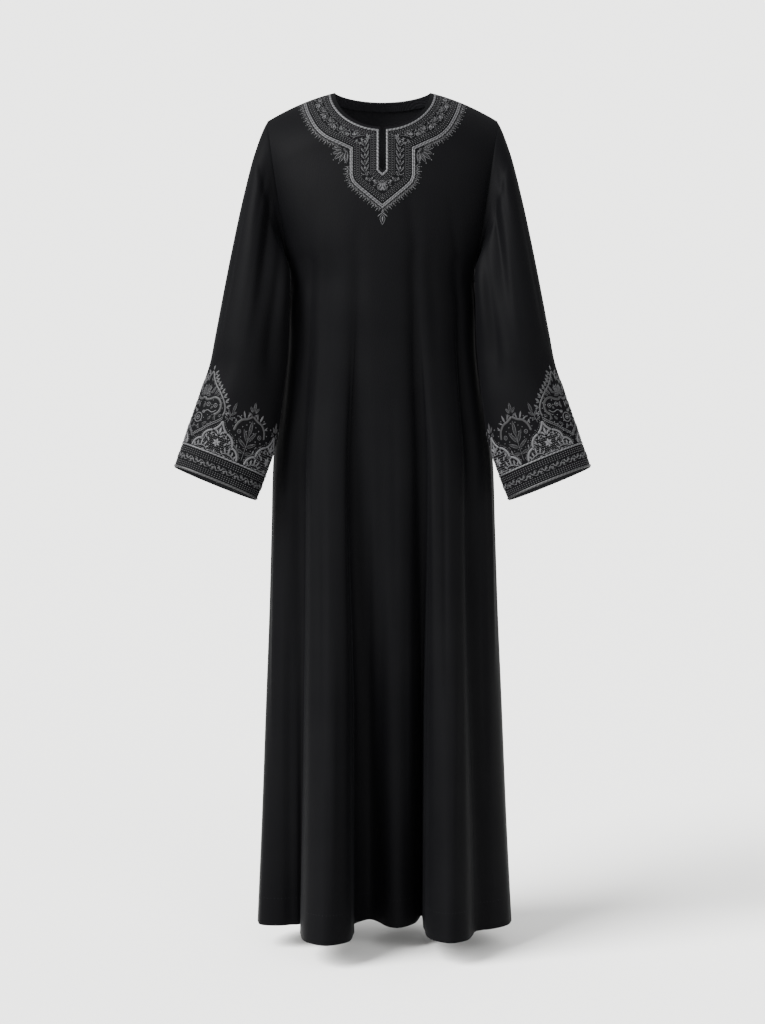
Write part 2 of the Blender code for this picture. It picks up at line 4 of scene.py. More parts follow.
import bmesh
import bpy
import numpy as np
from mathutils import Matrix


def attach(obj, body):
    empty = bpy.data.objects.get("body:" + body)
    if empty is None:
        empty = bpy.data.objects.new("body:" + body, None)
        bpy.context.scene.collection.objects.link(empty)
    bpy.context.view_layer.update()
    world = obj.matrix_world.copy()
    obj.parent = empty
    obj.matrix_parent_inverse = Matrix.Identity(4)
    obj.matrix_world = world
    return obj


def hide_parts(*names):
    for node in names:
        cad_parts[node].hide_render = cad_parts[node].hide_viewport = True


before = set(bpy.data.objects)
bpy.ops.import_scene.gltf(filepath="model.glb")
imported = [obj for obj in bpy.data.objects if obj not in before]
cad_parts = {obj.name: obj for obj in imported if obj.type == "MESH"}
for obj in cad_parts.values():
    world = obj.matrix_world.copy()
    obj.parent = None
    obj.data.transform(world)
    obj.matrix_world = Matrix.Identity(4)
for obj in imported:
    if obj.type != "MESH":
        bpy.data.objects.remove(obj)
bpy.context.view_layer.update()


# ---------------------------------------------------------------- front panel
# The front of the abaya is one length of black crepe, cut from the shoulder seams to the hem.
# It hangs plain over the chest and falls from there in deep cone-shaped folds.
# The neck slit is cut down its middle, and the hem is turned up and stitched by hand.

WALL = 0.002             # thickness of the panels' solids
CLOTH = 0.0010           # thickness of the crepe
TURN_UP = 0.040          # depth of the hem that is folded inside
HEM_FOLD = 0.0008        # how much thicker the folded hem is
SEAM_DIP = 0.0007        # how far the cloth sinks at a seam
SEAM_SPREAD = 0.0040
SEAM_CALM = 0.030        # nearer a seam than this, the creases die away
HEM_EDGE = 0.002         # how softly the turned-up part ends
LENGTH = 1.428
NECK_HALF = 0.0815
NECK_DROP = 0.076
BACK_NECK_DROP = 0.002
BACK_NECK_RISE = 0.032
SHOULDER_FROM = 0.0865
SHOULDER_SLOPE = 0.257
SHOULDER_CURVE = 1.556
SHOULDER_ROLL = 0.10
ROLL_POWER = 0.8
BACK_POWER = 0.375
TIP_X = 0.198
UNDERARM_Z = -0.300
CHEST_RISE = 0.018
ARMHOLE_FLARE = 0.7
ARM_STEPS = 60           # rows beside the armhole, and half of the columns round a sleeve
SKIRT_SPREAD = 1.25
FOLD_GROWTH = 1.6
FRONT_COLUMNS = 180
FRONT_NECK_SHARE = 11 / 15   # share of the front's top edge that is neckline
FRONT_SKIRT_STEPS = 150
SLIT_ROWS = 25
SLIT_COLUMNS = 4
SLIT_TAPER = 0.008       # length over which the slit narrows to its end
SLIT_TIP = 0.12          # what is left of its width there
SLIT_REACH = 6           # columns beside the slit that close in with it
SLIT_EASE = 4            # and how many of them do so only in part
SAME_PLACE = 1e-6
SHARP = 55.0             # edges that bend more than this many degrees are left sharp

Level = namedtuple("Level", "z half_width front_depth back_depth front_power sway")
BODY_LEVELS = [Level(*row) for row in (
    (0.04, 0.252, 0.078, 0.104, 0.375, 0.0), (-0.048, 0.232, 0.08, 0.106, 0.375, 0.0),
    (-0.11, 0.212, 0.092, 0.113, 0.375, 0.0), (-0.174, 0.197, 0.109, 0.121, 0.375, 0.0),
    (-0.24, 0.18, 0.12, 0.122, 0.38, 0.0), (-0.275, 0.1695, 0.123, 0.12, 0.4, 0.0),
    (-0.3, 0.16, 0.124, 0.118, 0.42, 0.0), (-0.33, 0.159, 0.124, 0.116, 0.48, 0.0),
    (-0.37, 0.164, 0.124, 0.114, 0.53, 0.0), (-0.44, 0.168, 0.121, 0.112, 0.55, 0.0),
    (-0.53, 0.1775, 0.117, 0.114, 0.52, 0.0005), (-0.62, 0.1875, 0.116, 0.12, 0.45, 0.001),
    (-0.75, 0.192, 0.117, 0.123, 0.42, 0.0015), (-0.88, 0.1958, 0.118, 0.126, 0.4, 0.0018),
    (-1.05, 0.2025, 0.12, 0.128, 0.385, 0.002), (-1.25, 0.21, 0.123, 0.13, 0.375, 0.0022),
    (-1.428, 0.218, 0.125, 0.132, 0.375, 0.0025))]
Fold = namedtuple("Fold", "place x y start lift")
FRONT_FOLDS = [Fold(*row) for row in (
    (-1.0, -0.215, 0.0, -0.7, 0.0), (-0.92, -0.207, -0.03, -0.7, 0.0),
    (-0.72, -0.172, -0.036, -0.6, 0.0), (-0.53, -0.141, -0.024, -0.4, 0.001),
    (-0.46, -0.137, -0.095, -0.36, 0.0), (-0.41, -0.122, -0.158, -0.34, 0.0),
    (-0.33, -0.094, -0.18, -0.32, 0.0), (-0.24, -0.062, -0.16, -0.34, 0.0),
    (-0.19, -0.049, -0.095, -0.36, 0.0), (-0.14, -0.042, -0.018, -0.34, 0.002),
    (-0.08, -0.022, -0.006, -0.36, 0.004), (0.0, 0.0, -0.02, -0.4, 0.002),
    (0.1, 0.029, -0.043, -0.42, 0.0), (0.17, 0.052, -0.03, -0.4, 0.002),
    (0.22, 0.066, 0.008, -0.36, 0.007), (0.27, 0.071, -0.07, -0.36, 0.002),
    (0.33, 0.084, -0.14, -0.34, 0.0), (0.41, 0.11, -0.162, -0.33, 0.0),
    (0.5, 0.138, -0.142, -0.34, 0.0), (0.55, 0.149, -0.108, -0.36, 0.0),
    (0.61, 0.158, -0.076, -0.42, 0.0), (0.75, 0.186, -0.06, -0.6, 0.0),
    (0.92, 0.214, -0.03, -0.58, 0.0), (1.0, 0.222, 0.0, -0.55, 0.0))]

# Smaller creases: where across the panel, from which height to which, how wide and deep
# (outward is positive), and how far they wander sideways on the way down.
Crease = namedtuple("Crease", "place top bottom width depth drift")
FRONT_CREASES = [Crease(*row) for row in (
    (-0.66, -0.27, -0.56, 0.03, -0.003, 0.06), (-0.58, -0.3, -0.7, 0.022, 0.0022, 0.03),
    (-0.83, -0.31, -0.64, 0.026, -0.0028, 0.05), (-0.8, -0.56, -1.15, 0.03, 0.0036, -0.02),
    (-0.64, -0.72, -1.33, 0.024, -0.003, 0.02), (-0.36, -0.64, -1.22, 0.016, -0.0026, 0.02),
    (-0.29, -0.9, -1.428, 0.015, 0.0024, -0.01), (-0.2, -0.42, -0.93, 0.026, -0.002, 0.01),
    (-0.05, -0.52, -1.25, 0.022, 0.0028, 0.01), (0.06, -0.48, -1.08, 0.02, -0.002, 0.02),
    (0.15, -0.76, -1.39, 0.018, 0.0024, 0.0), (0.37, -0.56, -1.1, 0.016, -0.0028, 0.02),
    (0.45, -0.82, -1.4, 0.016, 0.0024, -0.02), (0.68, -0.62, -1.24, 0.026, -0.0034, 0.02),
    (0.8, -0.52, -1.02, 0.03, 0.0034, 0.02), (0.6, -0.29, -0.62, 0.028, -0.0028, -0.05),
    (0.52, -0.32, -0.76, 0.02, 0.0018, -0.01), (0.84, -0.3, -0.56, 0.028, -0.003, -0.07),
    (0.33, -0.24, -0.52, 0.05, -0.0016, 0.04), (-0.37, -0.25, -0.5, 0.05, -0.0016, -0.04),
    (-0.165, -0.22, -1.05, 0.055, -0.009, 0.01), (0.215, -0.15, -1.05, 0.048, -0.01, 0.005),
    (0.56, -0.18, -1.33, 0.055, -0.0095, 0.03), (-0.545, -0.19, -1.25, 0.055, -0.008, -0.02),
    (-0.43, -0.25, -1.15, 0.045, 0.003, -0.01), (0.06, -0.55, -2.0, 0.07, 0.0095, 0.0),
    (-0.56, -0.65, -2.0, 0.045, 0.005, 0.0))]


def smooth(knots, values, at, rising=False):
    """Cubic curve through the values at rising knots, without corners.

    With rising, the values rise too, and so does the curve between them.
    """
    knots = np.asarray(knots, dtype=float)
    values = np.asarray(values, dtype=float)
    steps = np.diff(knots)
    rates = np.diff(values) / steps
    slopes = np.empty_like(values)
    slopes[0] = rates[0]
    slopes[-1] = rates[-1]
    slopes[1:-1] = (rates[:-1] * steps[1:] + rates[1:] * steps[:-1]) / (steps[1:] + steps[:-1])
    if rising:
        slopes[1:-1] = np.minimum(slopes[1:-1], 2.0 * np.minimum(rates[:-1], rates[1:]))
    at = np.clip(at, knots[0], knots[-1])
    k = np.clip(np.searchsorted(knots, at) - 1, 0, len(steps) - 1)
    h = steps[k]
    t = (at - knots[k]) / h
    start = values[k] * (1 + 2 * t) * (1 - t) ** 2 + slopes[k] * h * t * (1 - t) ** 2
    end = values[k + 1] * t ** 2 * (3 - 2 * t) + slopes[k + 1] * h * t ** 2 * (t - 1)
    return start + end


def column(rows, name):
    """One named column of a table."""
    return np.array([getattr(row, name) for row in rows])


def shoulder_height(x):
    """Height of the shoulder seam at a distance from the middle."""
    d = np.maximum(np.abs(x), NECK_HALF) - SHOULDER_FROM
    return -(SHOULDER_SLOPE * d + SHOULDER_CURVE * d * d)


TIP_Z = float(shoulder_height(TIP_X))
ARMHOLE_MIDDLE = (TIP_Z + UNDERARM_Z) / 2
ARMHOLE_HALF = (TIP_Z - UNDERARM_Z) / 2


def level_value(z, name):
    """A column of the body's levels at a height."""
    return smooth(-column(BODY_LEVELS, "z"), column(BODY_LEVELS, name), -z)


def body_depth(x, z, back):
    """How far the plain body stands out in front of, or behind, the shoulder line."""
    ratio = np.minimum(np.abs(x) / level_value(z, "half_width"), 1.0)
    ridge = shoulder_height(x)
    if back:
        ridge = ridge + BACK_NECK_RISE * np.maximum(1 - (x / NECK_HALF) ** 2, 0.0)
    drop = np.clip((ridge - z) / SHOULDER_ROLL, 0.0, 1.0)
    roll = np.sin(math.pi / 2 * drop ** ROLL_POWER)
    depth = level_value(z, "back_depth" if back else "front_depth")
    power = BACK_POWER if back else level_value(z, "front_power")
    return depth * (1 - ratio ** 2) ** power * roll


def body_point(x, z, back):
    """A point of the plain body's middle surface."""
    y = (1.0 if back else -1.0) * body_depth(x, z, back)
    return np.stack(np.broadcast_arrays(x, y, z), axis=-1)


def fold_shares(folds):
    """Each hem point's share of the hem, -1 to 1, with the centre at 0."""
    x = column(folds, "x")
    y = column(folds, "y")
    run = np.concatenate(([0.0], np.cumsum(np.hypot(np.diff(x), np.diff(y)))))
    centre = run[int(np.argmin(np.abs(column(folds, "place"))))]
    return np.where(run < centre, (run - centre) / centre, (run - centre) / (run[-1] - centre))


def grid_normals(grid, closed=False):
    """Outward unit normals of a grid whose columns run right and rows run down."""
    if closed:
        ring = grid[:, :-1]
        across = np.roll(ring, -1, axis=1) - np.roll(ring, 1, axis=1)
        across = np.concatenate((across, across[:, :1]), axis=1)
    else:
        across = np.gradient(grid, axis=1)
    normals = np.cross(np.gradient(grid, axis=0), across)
    return normals / np.linalg.norm(normals, axis=2)[:, :, None]


def armhole_lean(points):
    """Direction across the cloth's thickness at points of an armhole's edge."""
    rise = np.clip((points[:, 2] - ARMHOLE_MIDDLE) / ARMHOLE_HALF, -1.0, 1.0)
    lean = np.zeros_like(points)
    lean[:, 0] = ARMHOLE_FLARE * np.sign(points[:, 0])
    lean[:, 1] = np.sign(points[:, 1]) * np.sqrt(1 - rise ** 2)
    lean[:, 2] = rise
    return lean / np.linalg.norm(lean, axis=1)[:, None]


def panel_normals(grid):
    """Normals of a panel, turned at the seams so that its neighbours meet it edge to edge."""
    normals = grid_normals(grid)
    shoulders = np.abs(grid[0, :, 0]) >= NECK_HALF - SAME_PLACE
    normals[0, shoulders, 1] = 0.0
    normals[ARM_STEPS:, [0, -1], 1] = 0.0
    normals /= np.linalg.norm(normals, axis=2)[:, :, None]
    for side in (0, -1):
        normals[:ARM_STEPS + 1, side] = armhole_lean(grid[:ARM_STEPS + 1, side])
    return normals


def crease_rise(place, z, creases):
    """How far the creases lift the cloth, for grids of place and height."""
    rise = np.zeros_like(z)
    for crease in creases:
        down = np.clip((crease.top - z) / (crease.top - crease.bottom), 0.0, 1.0)
        away = (place - crease.place - crease.drift * down) / crease.width
        rise += crease.depth * np.sin(math.pi * down) ** 1.2 * np.exp(-away ** 2)
    return rise


def panel(folds, creases, columns, neck_share, skirt_steps, back):
    """Middle surface and normals of the front or back panel, indexed [row][column]."""
    share = np.linspace(-1, 1, columns + 1)
    shares = fold_shares(folds)
    place = smooth(shares, column(folds, "place"), share, rising=True)
    start = smooth(shares, column(folds, "start"), share)
    hem_x = smooth(shares, column(folds, "x"), share)
    hem_y = smooth(shares, column(folds, "y"), share)
    hem_z = -LENGTH + smooth(shares, column(folds, "lift"), share)
    hem_z[0] = hem_z[-1] = -LENGTH

    along = np.minimum(np.abs(share) / neck_share, 1.0)
    out = np.clip((np.abs(share) - neck_share) / (1 - neck_share), 0.0, 1.0)
    top_x = np.sign(share) * (NECK_HALF * np.sin(math.pi / 2 * along)
                              + (TIP_X - NECK_HALF) * out)
    drop = BACK_NECK_DROP if back else NECK_DROP
    top_z = shoulder_height(top_x) - drop * np.cos(math.pi / 2 * along)
    chest_z = UNDERARM_Z + CHEST_RISE * (1 - share ** 2)
    chest_x = level_value(chest_z, "half_width") * np.sin(math.pi / 2 * place)
    plain_x = level_value(hem_z, "half_width") * np.sin(math.pi / 2 * place)
    plain_hem = body_point(plain_x, hem_z, back)
    plain_hem[:, 0] += level_value(hem_z, "sway")

    rows = []
    for j in range(ARM_STEPS):
        down = (1 - math.cos(math.pi * j / ARM_STEPS)) / 2
        x = top_x + (chest_x - top_x) * down
        rows.append(body_point(x, top_z + (chest_z - top_z) * down, back))
    for j in range(skirt_steps + 1):
        down = (j / skirt_steps) ** SKIRT_SPREAD
        z = chest_z + (hem_z - chest_z) * down
        x = level_value(z, "half_width") * np.sin(math.pi / 2 * place)
        points = body_point(x, z, back)
        points[:, 0] += level_value(z, "sway")
        amount = np.clip((start - z) / (start - hem_z), 0.0, 1.0) ** FOLD_GROWTH
        points[:, 0] += amount * (hem_x - plain_hem[:, 0])
        points[:, 1] += amount * (hem_y - plain_hem[:, 1])
        rows.append(points)
    grid = np.array(rows)
    grid[ARM_STEPS:, [0, -1], 1] = 0.0

    # creases, and the slight valleys along the seams
    places = np.broadcast_to(place, grid.shape[:2])
    side = np.cumsum(np.linalg.norm(np.diff(grid, axis=1), axis=2), axis=1)
    side = np.concatenate((np.zeros((len(grid), 1)), side), axis=1)
    edge = np.minimum(side, side[:, -1:] - side)
    rise = crease_rise(places, grid[:, :, 2], creases)
    rise *= np.clip(edge / SEAM_CALM, 0.0, 1.0)
    rise -= SEAM_DIP * np.exp(-(edge / SEAM_SPREAD) ** 2)
    if back:
        grid, rise = grid[:, ::-1], rise[:, ::-1]
    normals = panel_normals(grid)
    rise[:, [0, -1]] = 0.0
    grid = grid + normals * rise[:, :, None]
    return grid, panel_normals(grid)


def shell(name, inner, outer, material, closed=False, slit=(), wrong_side=None):
    """A closed thin wall between two matching grids of points."""
    rows = inner.shape[0] - 1
    columns = inner.shape[1] - 1
    work = bmesh.new()
    bmesh.ops.create_grid(work, x_segments=columns, y_segments=rows, size=1.0)
    number = work.verts.layers.int.new("number")
    inside = inner.reshape(-1, 3)
    outside = outer.reshape(-1, 3)
    for i, vert in enumerate(work.verts):
        vert[number] = i
        vert.co = inside[i]
    if slit:
        slit_rows, slit_columns = slit
        work.faces.ensure_lookup_table()
        first = (columns - slit_columns) // 2
        doomed = [work.faces[j * columns + first + k]
                  for j in range(slit_rows) for k in range(slit_columns)]
        bmesh.ops.delete(work, geom=doomed, context="FACES")
    if closed:
        bmesh.ops.remove_doubles(work, verts=work.verts[:], dist=SAME_PLACE)
    inner_faces = work.faces[:]
    skin = bmesh.ops.extrude_face_region(work, geom=inner_faces)
    for vert in skin["geom"]:
        if isinstance(vert, bmesh.types.BMVert):
            vert.co = outside[vert[number]]
    work.verts.layers.int.remove(number)
    if wrong_side:
        for face in inner_faces:
            face.material_index = 1
    piece = finished(name, work, material)
    if wrong_side:
        piece.data.materials.append(wrong_side)
    return piece


def finished(name, work, material):
    """An object from a worked mesh, with its faces outward and its shading smooth."""
    bmesh.ops.recalc_face_normals(work, faces=work.faces[:])
    mesh = bpy.data.meshes.new(name)
    work.to_mesh(mesh)
    work.free()
    mesh.shade_smooth()
    mesh.set_sharp_from_angle(angle=math.radians(SHARP))
    mesh.materials.append(material)
    piece = bpy.data.objects.new(name, mesh)
    bpy.context.scene.collection.objects.link(piece)
    return piece


def cloth_faces(grid, normals, hem_at):
    """The inner and outer faces of a cloth with its outer face on its solid's."""
    outer = grid + normals * (WALL / 2)
    height = np.linalg.norm(grid - grid[-1:], axis=2)
    thick = CLOTH + HEM_FOLD * np.clip((hem_at - height) / HEM_EDGE, 0.0, 1.0)
    return outer - normals * thick[:, :, None], outer


def linear(hex_colour):
    """A colour for a shader from an sRGB hex value."""
    parts = [int(hex_colour[i:i + 2], 16) / 255 for i in (1, 3, 5)]
    return [p / 12.92 if p <= 0.04045 else ((p + 0.055) / 1.055) ** 2.4 for p in parts] + [1.0]


def fill(node, inputs):
    """Fills a node's inputs, each with a value or with another node's output."""
    for name, value in inputs.items():
        if isinstance(value, bpy.types.NodeSocket):
            node.id_data.links.new(value, node.inputs[name])
        else:
            node.inputs[name].default_value = value


def add_node(material, kind, inputs=(), **settings):
    """A node with its settings and its filled inputs."""
    node = material.node_tree.nodes.new(kind)
    for name, value in settings.items():
        setattr(node, name, value)
    fill(node, dict(inputs))
    return node


def new_material(name):
    """An empty node material and its shader."""
    material = bpy.data.materials.new(name)
    material.use_nodes = True
    return material, material.node_tree.nodes["Principled BSDF"]


# Polyester crepe, dyed black: hard-twisted yarns crinkle into fine pebbles, which break up the
# light into a soft matte sheen and brighten the cloth where it turns away.
PEBBLE = 0.0011          # the real pebbles are half of this, too fine to show
YARN = 0.0016            # warp lines, drawn three times as coarse as they are
BOLT_SHADE = 0.11        # size of the slow changes of shade in the dyeing
crepe, shader = new_material("black_crepe")
where = add_node(crepe, "ShaderNodeTexCoord").outputs["Object"]
shade = add_node(crepe, "ShaderNodeTexNoise",
                 {"Vector": where, "Scale": 1 / BOLT_SHADE, "Detail": 3.0})
tones = add_node(crepe, "ShaderNodeMix", {
    "Factor": shade.outputs["Fac"], 6: linear("#040405"), 7: linear("#080809")},
    data_type="RGBA")
pebbles = add_node(crepe, "ShaderNodeTexNoise",
                   {"Vector": where, "Scale": 1 / PEBBLE, "Detail": 2.0, "Roughness": 0.6})
stretched = add_node(crepe, "ShaderNodeMapping",
                     {"Vector": where, "Scale": (1 / YARN, 1 / YARN, 0.12 / YARN)})
yarns = add_node(crepe, "ShaderNodeTexNoise",
                 {"Vector": stretched.outputs["Vector"], "Scale": 1.0, "Detail": 1.0})
relief = add_node(crepe, "ShaderNodeMath",
                  {0: pebbles.outputs["Fac"], 1: yarns.outputs["Fac"]}, operation="ADD")
bump = add_node(crepe, "ShaderNodeBump",
                {"Height": relief.outputs["Value"], "Strength": 0.35, "Distance": 0.00035})
gloss = add_node(crepe, "ShaderNodeMapRange",
                 {"Value": pebbles.outputs["Fac"], "To Min": 0.50, "To Max": 0.66})
fill(shader, {"Base Color": tones.outputs[2], "Roughness": gloss.outputs["Result"],
              "Normal": bump.outputs["Normal"], "Specular IOR Level": 0.020,
              "Sheen Weight": 0.008, "Sheen Roughness": 0.40, "Sheen Tint": linear("#c9ccd4")})

# The crepe's wrong side, seen inside the neck and the hem: duller, and painted lighter than the
# crepe to stand in for the light that reaches the shaded inside.
crepe_inside_painted_light, shader = new_material("black_crepe_wrong_side_painted_light")
fill(shader, {"Base Color": linear("#1e1e20"), "Roughness": 0.9, "Specular IOR Level": 0.02})

front_grid, front_normals = panel(FRONT_FOLDS, FRONT_CREASES, FRONT_COLUMNS,
                                  FRONT_NECK_SHARE, FRONT_SKIRT_STEPS, False)
middle = FRONT_COLUMNS // 2
slit_end = front_grid[SLIT_ROWS, middle, 2]
for j in range(SLIT_ROWS + 1):
    open_share = np.clip((front_grid[j, middle, 2] - slit_end) / SLIT_TAPER, 0.0, 1.0) ** 0.5
    for k in range(-SLIT_REACH, SLIT_REACH + 1):
        fade = np.clip((SLIT_REACH - abs(k)) / SLIT_EASE, 0.0, 1.0)
        front_grid[j, middle + k, 0] *= 1 - fade * (1 - max(open_share, SLIT_TIP))
inner, outer = cloth_faces(front_grid, front_normals, TURN_UP)
front_panel = shell("front_panel_crepe", inner, outer, crepe,
                    slit=(SLIT_ROWS, SLIT_COLUMNS), wrong_side=crepe_inside_painted_light)
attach(front_panel, "root")
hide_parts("front_panel")


# ---------------------------------------------------------------- back panel
# The back is a second length of the same crepe, sewn to the front at the shoulders and sides.
# It hangs from the shoulders in wide pleat-like folds of its own.

BACK_COLUMNS = 148
BACK_NECK_SHARE = 25 / 37
BACK_SKIRT_STEPS = 130
BACK_FOLDS = [Fold(*row) for row in (
    (-1.0, -0.215, 0.0, -0.7, 0.0), (-0.92, -0.208, 0.036, -0.7, 0.0),
    (-0.76, -0.18, 0.078, -0.6, 0.001), (-0.62, -0.152, 0.08, -0.45, 0.003),
    (-0.52, -0.13, 0.136, -0.4, 0.0), (-0.42, -0.1, 0.166, -0.38, 0.0),
    (-0.31, -0.068, 0.146, -0.4, 0.0), (-0.24, -0.052, 0.086, -0.42, 0.003),
    (-0.14, -0.028, 0.068, -0.44, 0.004), (0.0, 0.0, 0.104, -0.42, 0.001),
    (0.1, 0.02, 0.15, -0.4, 0.0), (0.2, 0.046, 0.17, -0.38, 0.0), (0.31, 0.074, 0.15, -0.4, 0.0),
    (0.4, 0.09, 0.094, -0.44, 0.003), (0.5, 0.11, 0.08, -0.46, 0.004),
    (0.62, 0.136, 0.116, -0.46, 0.001), (0.74, 0.162, 0.13, -0.5, 0.0),
    (0.86, 0.192, 0.084, -0.6, 0.0), (0.94, 0.215, 0.036, -0.58, 0.0),
    (1.0, 0.222, 0.0, -0.55, 0.0))]
BACK_CREASES = [Crease(*row) for row in (
    (-0.78, -0.24, -0.56, 0.03, -0.003, 0.08), (-0.6, -0.3, -0.76, 0.026, 0.0026, 0.04),
    (-0.46, -0.16, -0.52, 0.04, -0.0022, -0.04), (-0.36, -0.62, -1.22, 0.018, -0.003, 0.02),
    (-0.18, -0.34, -0.9, 0.026, 0.0024, 0.02), (-0.06, -0.18, -0.62, 0.034, -0.002, -0.01),
    (0.05, -0.7, -1.33, 0.02, -0.0028, 0.01), (0.16, -0.48, -1.05, 0.02, 0.0026, 0.02),
    (0.26, -0.78, -1.38, 0.018, -0.0026, -0.01), (0.38, -0.17, -0.56, 0.04, -0.0022, 0.05),
    (0.47, -0.56, -1.14, 0.022, 0.003, 0.02), (0.64, -0.33, -0.84, 0.028, -0.003, -0.04),
    (0.72, -0.78, -1.34, 0.024, 0.003, 0.01), (0.82, -0.25, -0.58, 0.03, -0.0032, -0.08),
    (-0.7, -0.76, -1.3, 0.026, -0.003, 0.02), (-0.86, -0.6, -1.1, 0.024, 0.0028, 0.0))]

back_grid, back_normals = panel(BACK_FOLDS, BACK_CREASES, BACK_COLUMNS,
                                BACK_NECK_SHARE, BACK_SKIRT_STEPS, True)
inner, outer = cloth_faces(back_grid, back_normals, TURN_UP)
back_panel = shell("back_panel_crepe", inner, outer, crepe, wrong_side=crepe_inside_painted_light)
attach(back_panel, "root")
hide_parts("back_panel")


# ---------------------------------------------------------------- sleeves
# Each sleeve is one piece of crepe sewn into a tube and set into the armhole.
# It widens from the elbow to a bell-shaped cuff and hangs beside the body in long folds.

Ring = namedtuple("Ring", "outer_x outer_z inner_x inner_z middle_y half_depth tilt")
SLEEVE_RINGS = [Ring(*row) for row in (
    (0.198, -0.048, 0.16, -0.3, 0.0, 0.056, 0.0),
    (0.2065, -0.068, 0.1675, -0.3013, -0.004, 0.057, 0.0),
    (0.2158, -0.097, 0.1705, -0.311, -0.012, 0.058, 0.0),
    (0.225, -0.1333, 0.1665, -0.33, -0.025, 0.059, 0.0),
    (0.242, -0.2124, 0.1635, -0.368, -0.042, 0.06, 0.0),
    (0.2622, -0.3167, 0.1595, -0.418, -0.055, 0.06, 0.0),
    (0.2812, -0.4203, 0.16, -0.463, -0.062, 0.059, 0.0),
    (0.291, -0.4718, 0.1635, -0.497, -0.065, 0.057, 0.0),
    (0.306, -0.518, 0.17, -0.545, -0.069, 0.054, 0.001),
    (0.32, -0.56, 0.1795, -0.603, -0.073, 0.05, 0.002),
    (0.3343, -0.6035, 0.1971, -0.6589, -0.077, 0.047, 0.003),
    (0.3491, -0.6471, 0.2137, -0.7018, -0.08, 0.045, 0.004))]
CUFF_BAND = 0.046        # distance between two rings near the cuff
RING_STEPS = 13          # rows of the sleeve for each ring
SETTLE_RINGS = 3.0
SleeveFold = namedtuple("SleeveFold", "angle width depth first last")
SLEEVE_FOLDS = [SleeveFold(*row) for row in (
    (98.0, 17.0, 0.009, 1.0, 6.6), (130.0, 18.0, 0.006, 3.5, 8.6), (52.0, 18.0, 0.004, 5.6, 9.0),
    (208.0, 26.0, 0.009, 2.5, 9.0), (248.0, 20.0, 0.007, 1.5, 7.6),
    (302.0, 18.0, 0.006, 4.0, 9.0))]
# the inner front hangs nearer the body than the rings, and further forward
DRAPE = SleeveFold(145.0, 28.0, 1.0, 0.1, 6.2)
DRAPE_SHIFT = (-0.014, -0.012, 0.0)
# smaller creases, of the same kind
SLEEVE_CREASES = [SleeveFold(*row) for row in (
    (70.0, 7.0, 0.0022, 0.6, 4.4), (84.0, 6.0, -0.0018, 2.4, 6.8), (116.0, 7.0, -0.0022, 2.0, 5.6),
    (150.0, 8.0, 0.0024, 1.6, 6.2), (34.0, 7.0, 0.0016, 2.8, 7.0), (166.0, 6.0, -0.0016, 4.2, 7.8),
    (226.0, 7.0, -0.0024, 2.0, 7.2), (270.0, 8.0, 0.002, 0.8, 5.2),
    (286.0, 7.0, -0.0018, 3.6, 7.6), (330.0, 8.0, 0.0018, 1.8, 6.4),
    (122.0, 11.0, 0.0065, 0.9, 7.8), (92.0, 8.0, 0.005, 0.6, 5.4))]


def swelling(row, turn, fold):
    """How strongly a fold shows at a row of the sleeve, all round it."""
    if not fold.first < row < fold.last:
        return np.zeros_like(turn)
    strength = math.sin(math.pi * (row - fold.first) / (fold.last - fold.first)) ** 2
    return strength * np.exp(-((np.degrees(turn) - fold.angle) / fold.width) ** 2)


def sleeve():
    """Middle surface and normals of the left sleeve, indexed [ring step][step round it]."""
    front_edge = front_grid[:ARM_STEPS + 1, -1]
    back_edge = back_grid[:ARM_STEPS + 1, 0]
    loop = np.concatenate((front_edge, back_edge[-2::-1]))
    lean = armhole_lean(loop)
    index = np.arange(len(SLEEVE_RINGS))
    turn = np.linspace(0, 2 * math.pi, 2 * ARM_STEPS + 1)
    cos, sin = np.cos(turn)[:, None], np.sin(turn)[:, None]
    rings = []
    for row in np.linspace(0, index[-1], RING_STEPS * index[-1] + 1):
        value = {name: smooth(index, column(SLEEVE_RINGS, name), row) for name in Ring._fields}
        outer = np.array([value["outer_x"], value["middle_y"], value["outer_z"]])
        inner = np.array([value["inner_x"], value["middle_y"], value["inner_z"]])
        spoke = (outer - inner) / 2
        thick = np.array([0.0, -value["half_depth"], value["tilt"]])
        ring = (outer + inner) / 2 + spoke * cos + thick * sin
        inward = -(spoke / np.linalg.norm(spoke) * cos + thick / np.linalg.norm(thick) * sin)
        for fold in SLEEVE_FOLDS + SLEEVE_CREASES:
            ring += inward * (fold.depth * swelling(row, turn, fold))[:, None]
        ring += np.outer(swelling(row, turn, DRAPE), DRAPE_SHIFT)
        if row == 0:
            drift = loop - ring
        ring += drift * max(0.0, 1 - row / SETTLE_RINGS) ** 2
        rings.append(ring)
    grid = np.array(rings)
    grid[:, -1] = grid[:, 0]
    # the rings run to the left seen from outside, the other way round from the panels' rows
    normals = -grid_normals(grid, closed=True)
    normals[0] = lean
    from_seam = np.linalg.norm(grid - grid[:1], axis=2)
    rise = -SEAM_DIP * np.exp(-(from_seam / SEAM_SPREAD) ** 2)
    rise[0] = 0.0
    return grid + normals * rise[:, :, None], normals


sleeve_grid, sleeve_normals = sleeve()
sleeves = {}
for side, across in (("left", 1.0), ("right", -1.0)):
    turn_over = np.array([across, 1.0, 1.0])
    inner, outer = cloth_faces(sleeve_grid * turn_over, sleeve_normals * turn_over, TURN_UP / 2)
    sleeves[side] = shell(f"sleeve_{side}_crepe", inner, outer, crepe, closed=True,
                          wrong_side=crepe_inside_painted_light)
    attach(sleeves[side], "root")
    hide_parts(f"sleeve_{side}")


# ---------------------------------------------------------------- neck facing
# A narrow tape of twilled cotton covers the raw edge inside the back of the neck.

FACING_HEIGHT = 0.010
FACING = 0.0010
LAY_GAP = 0.0005
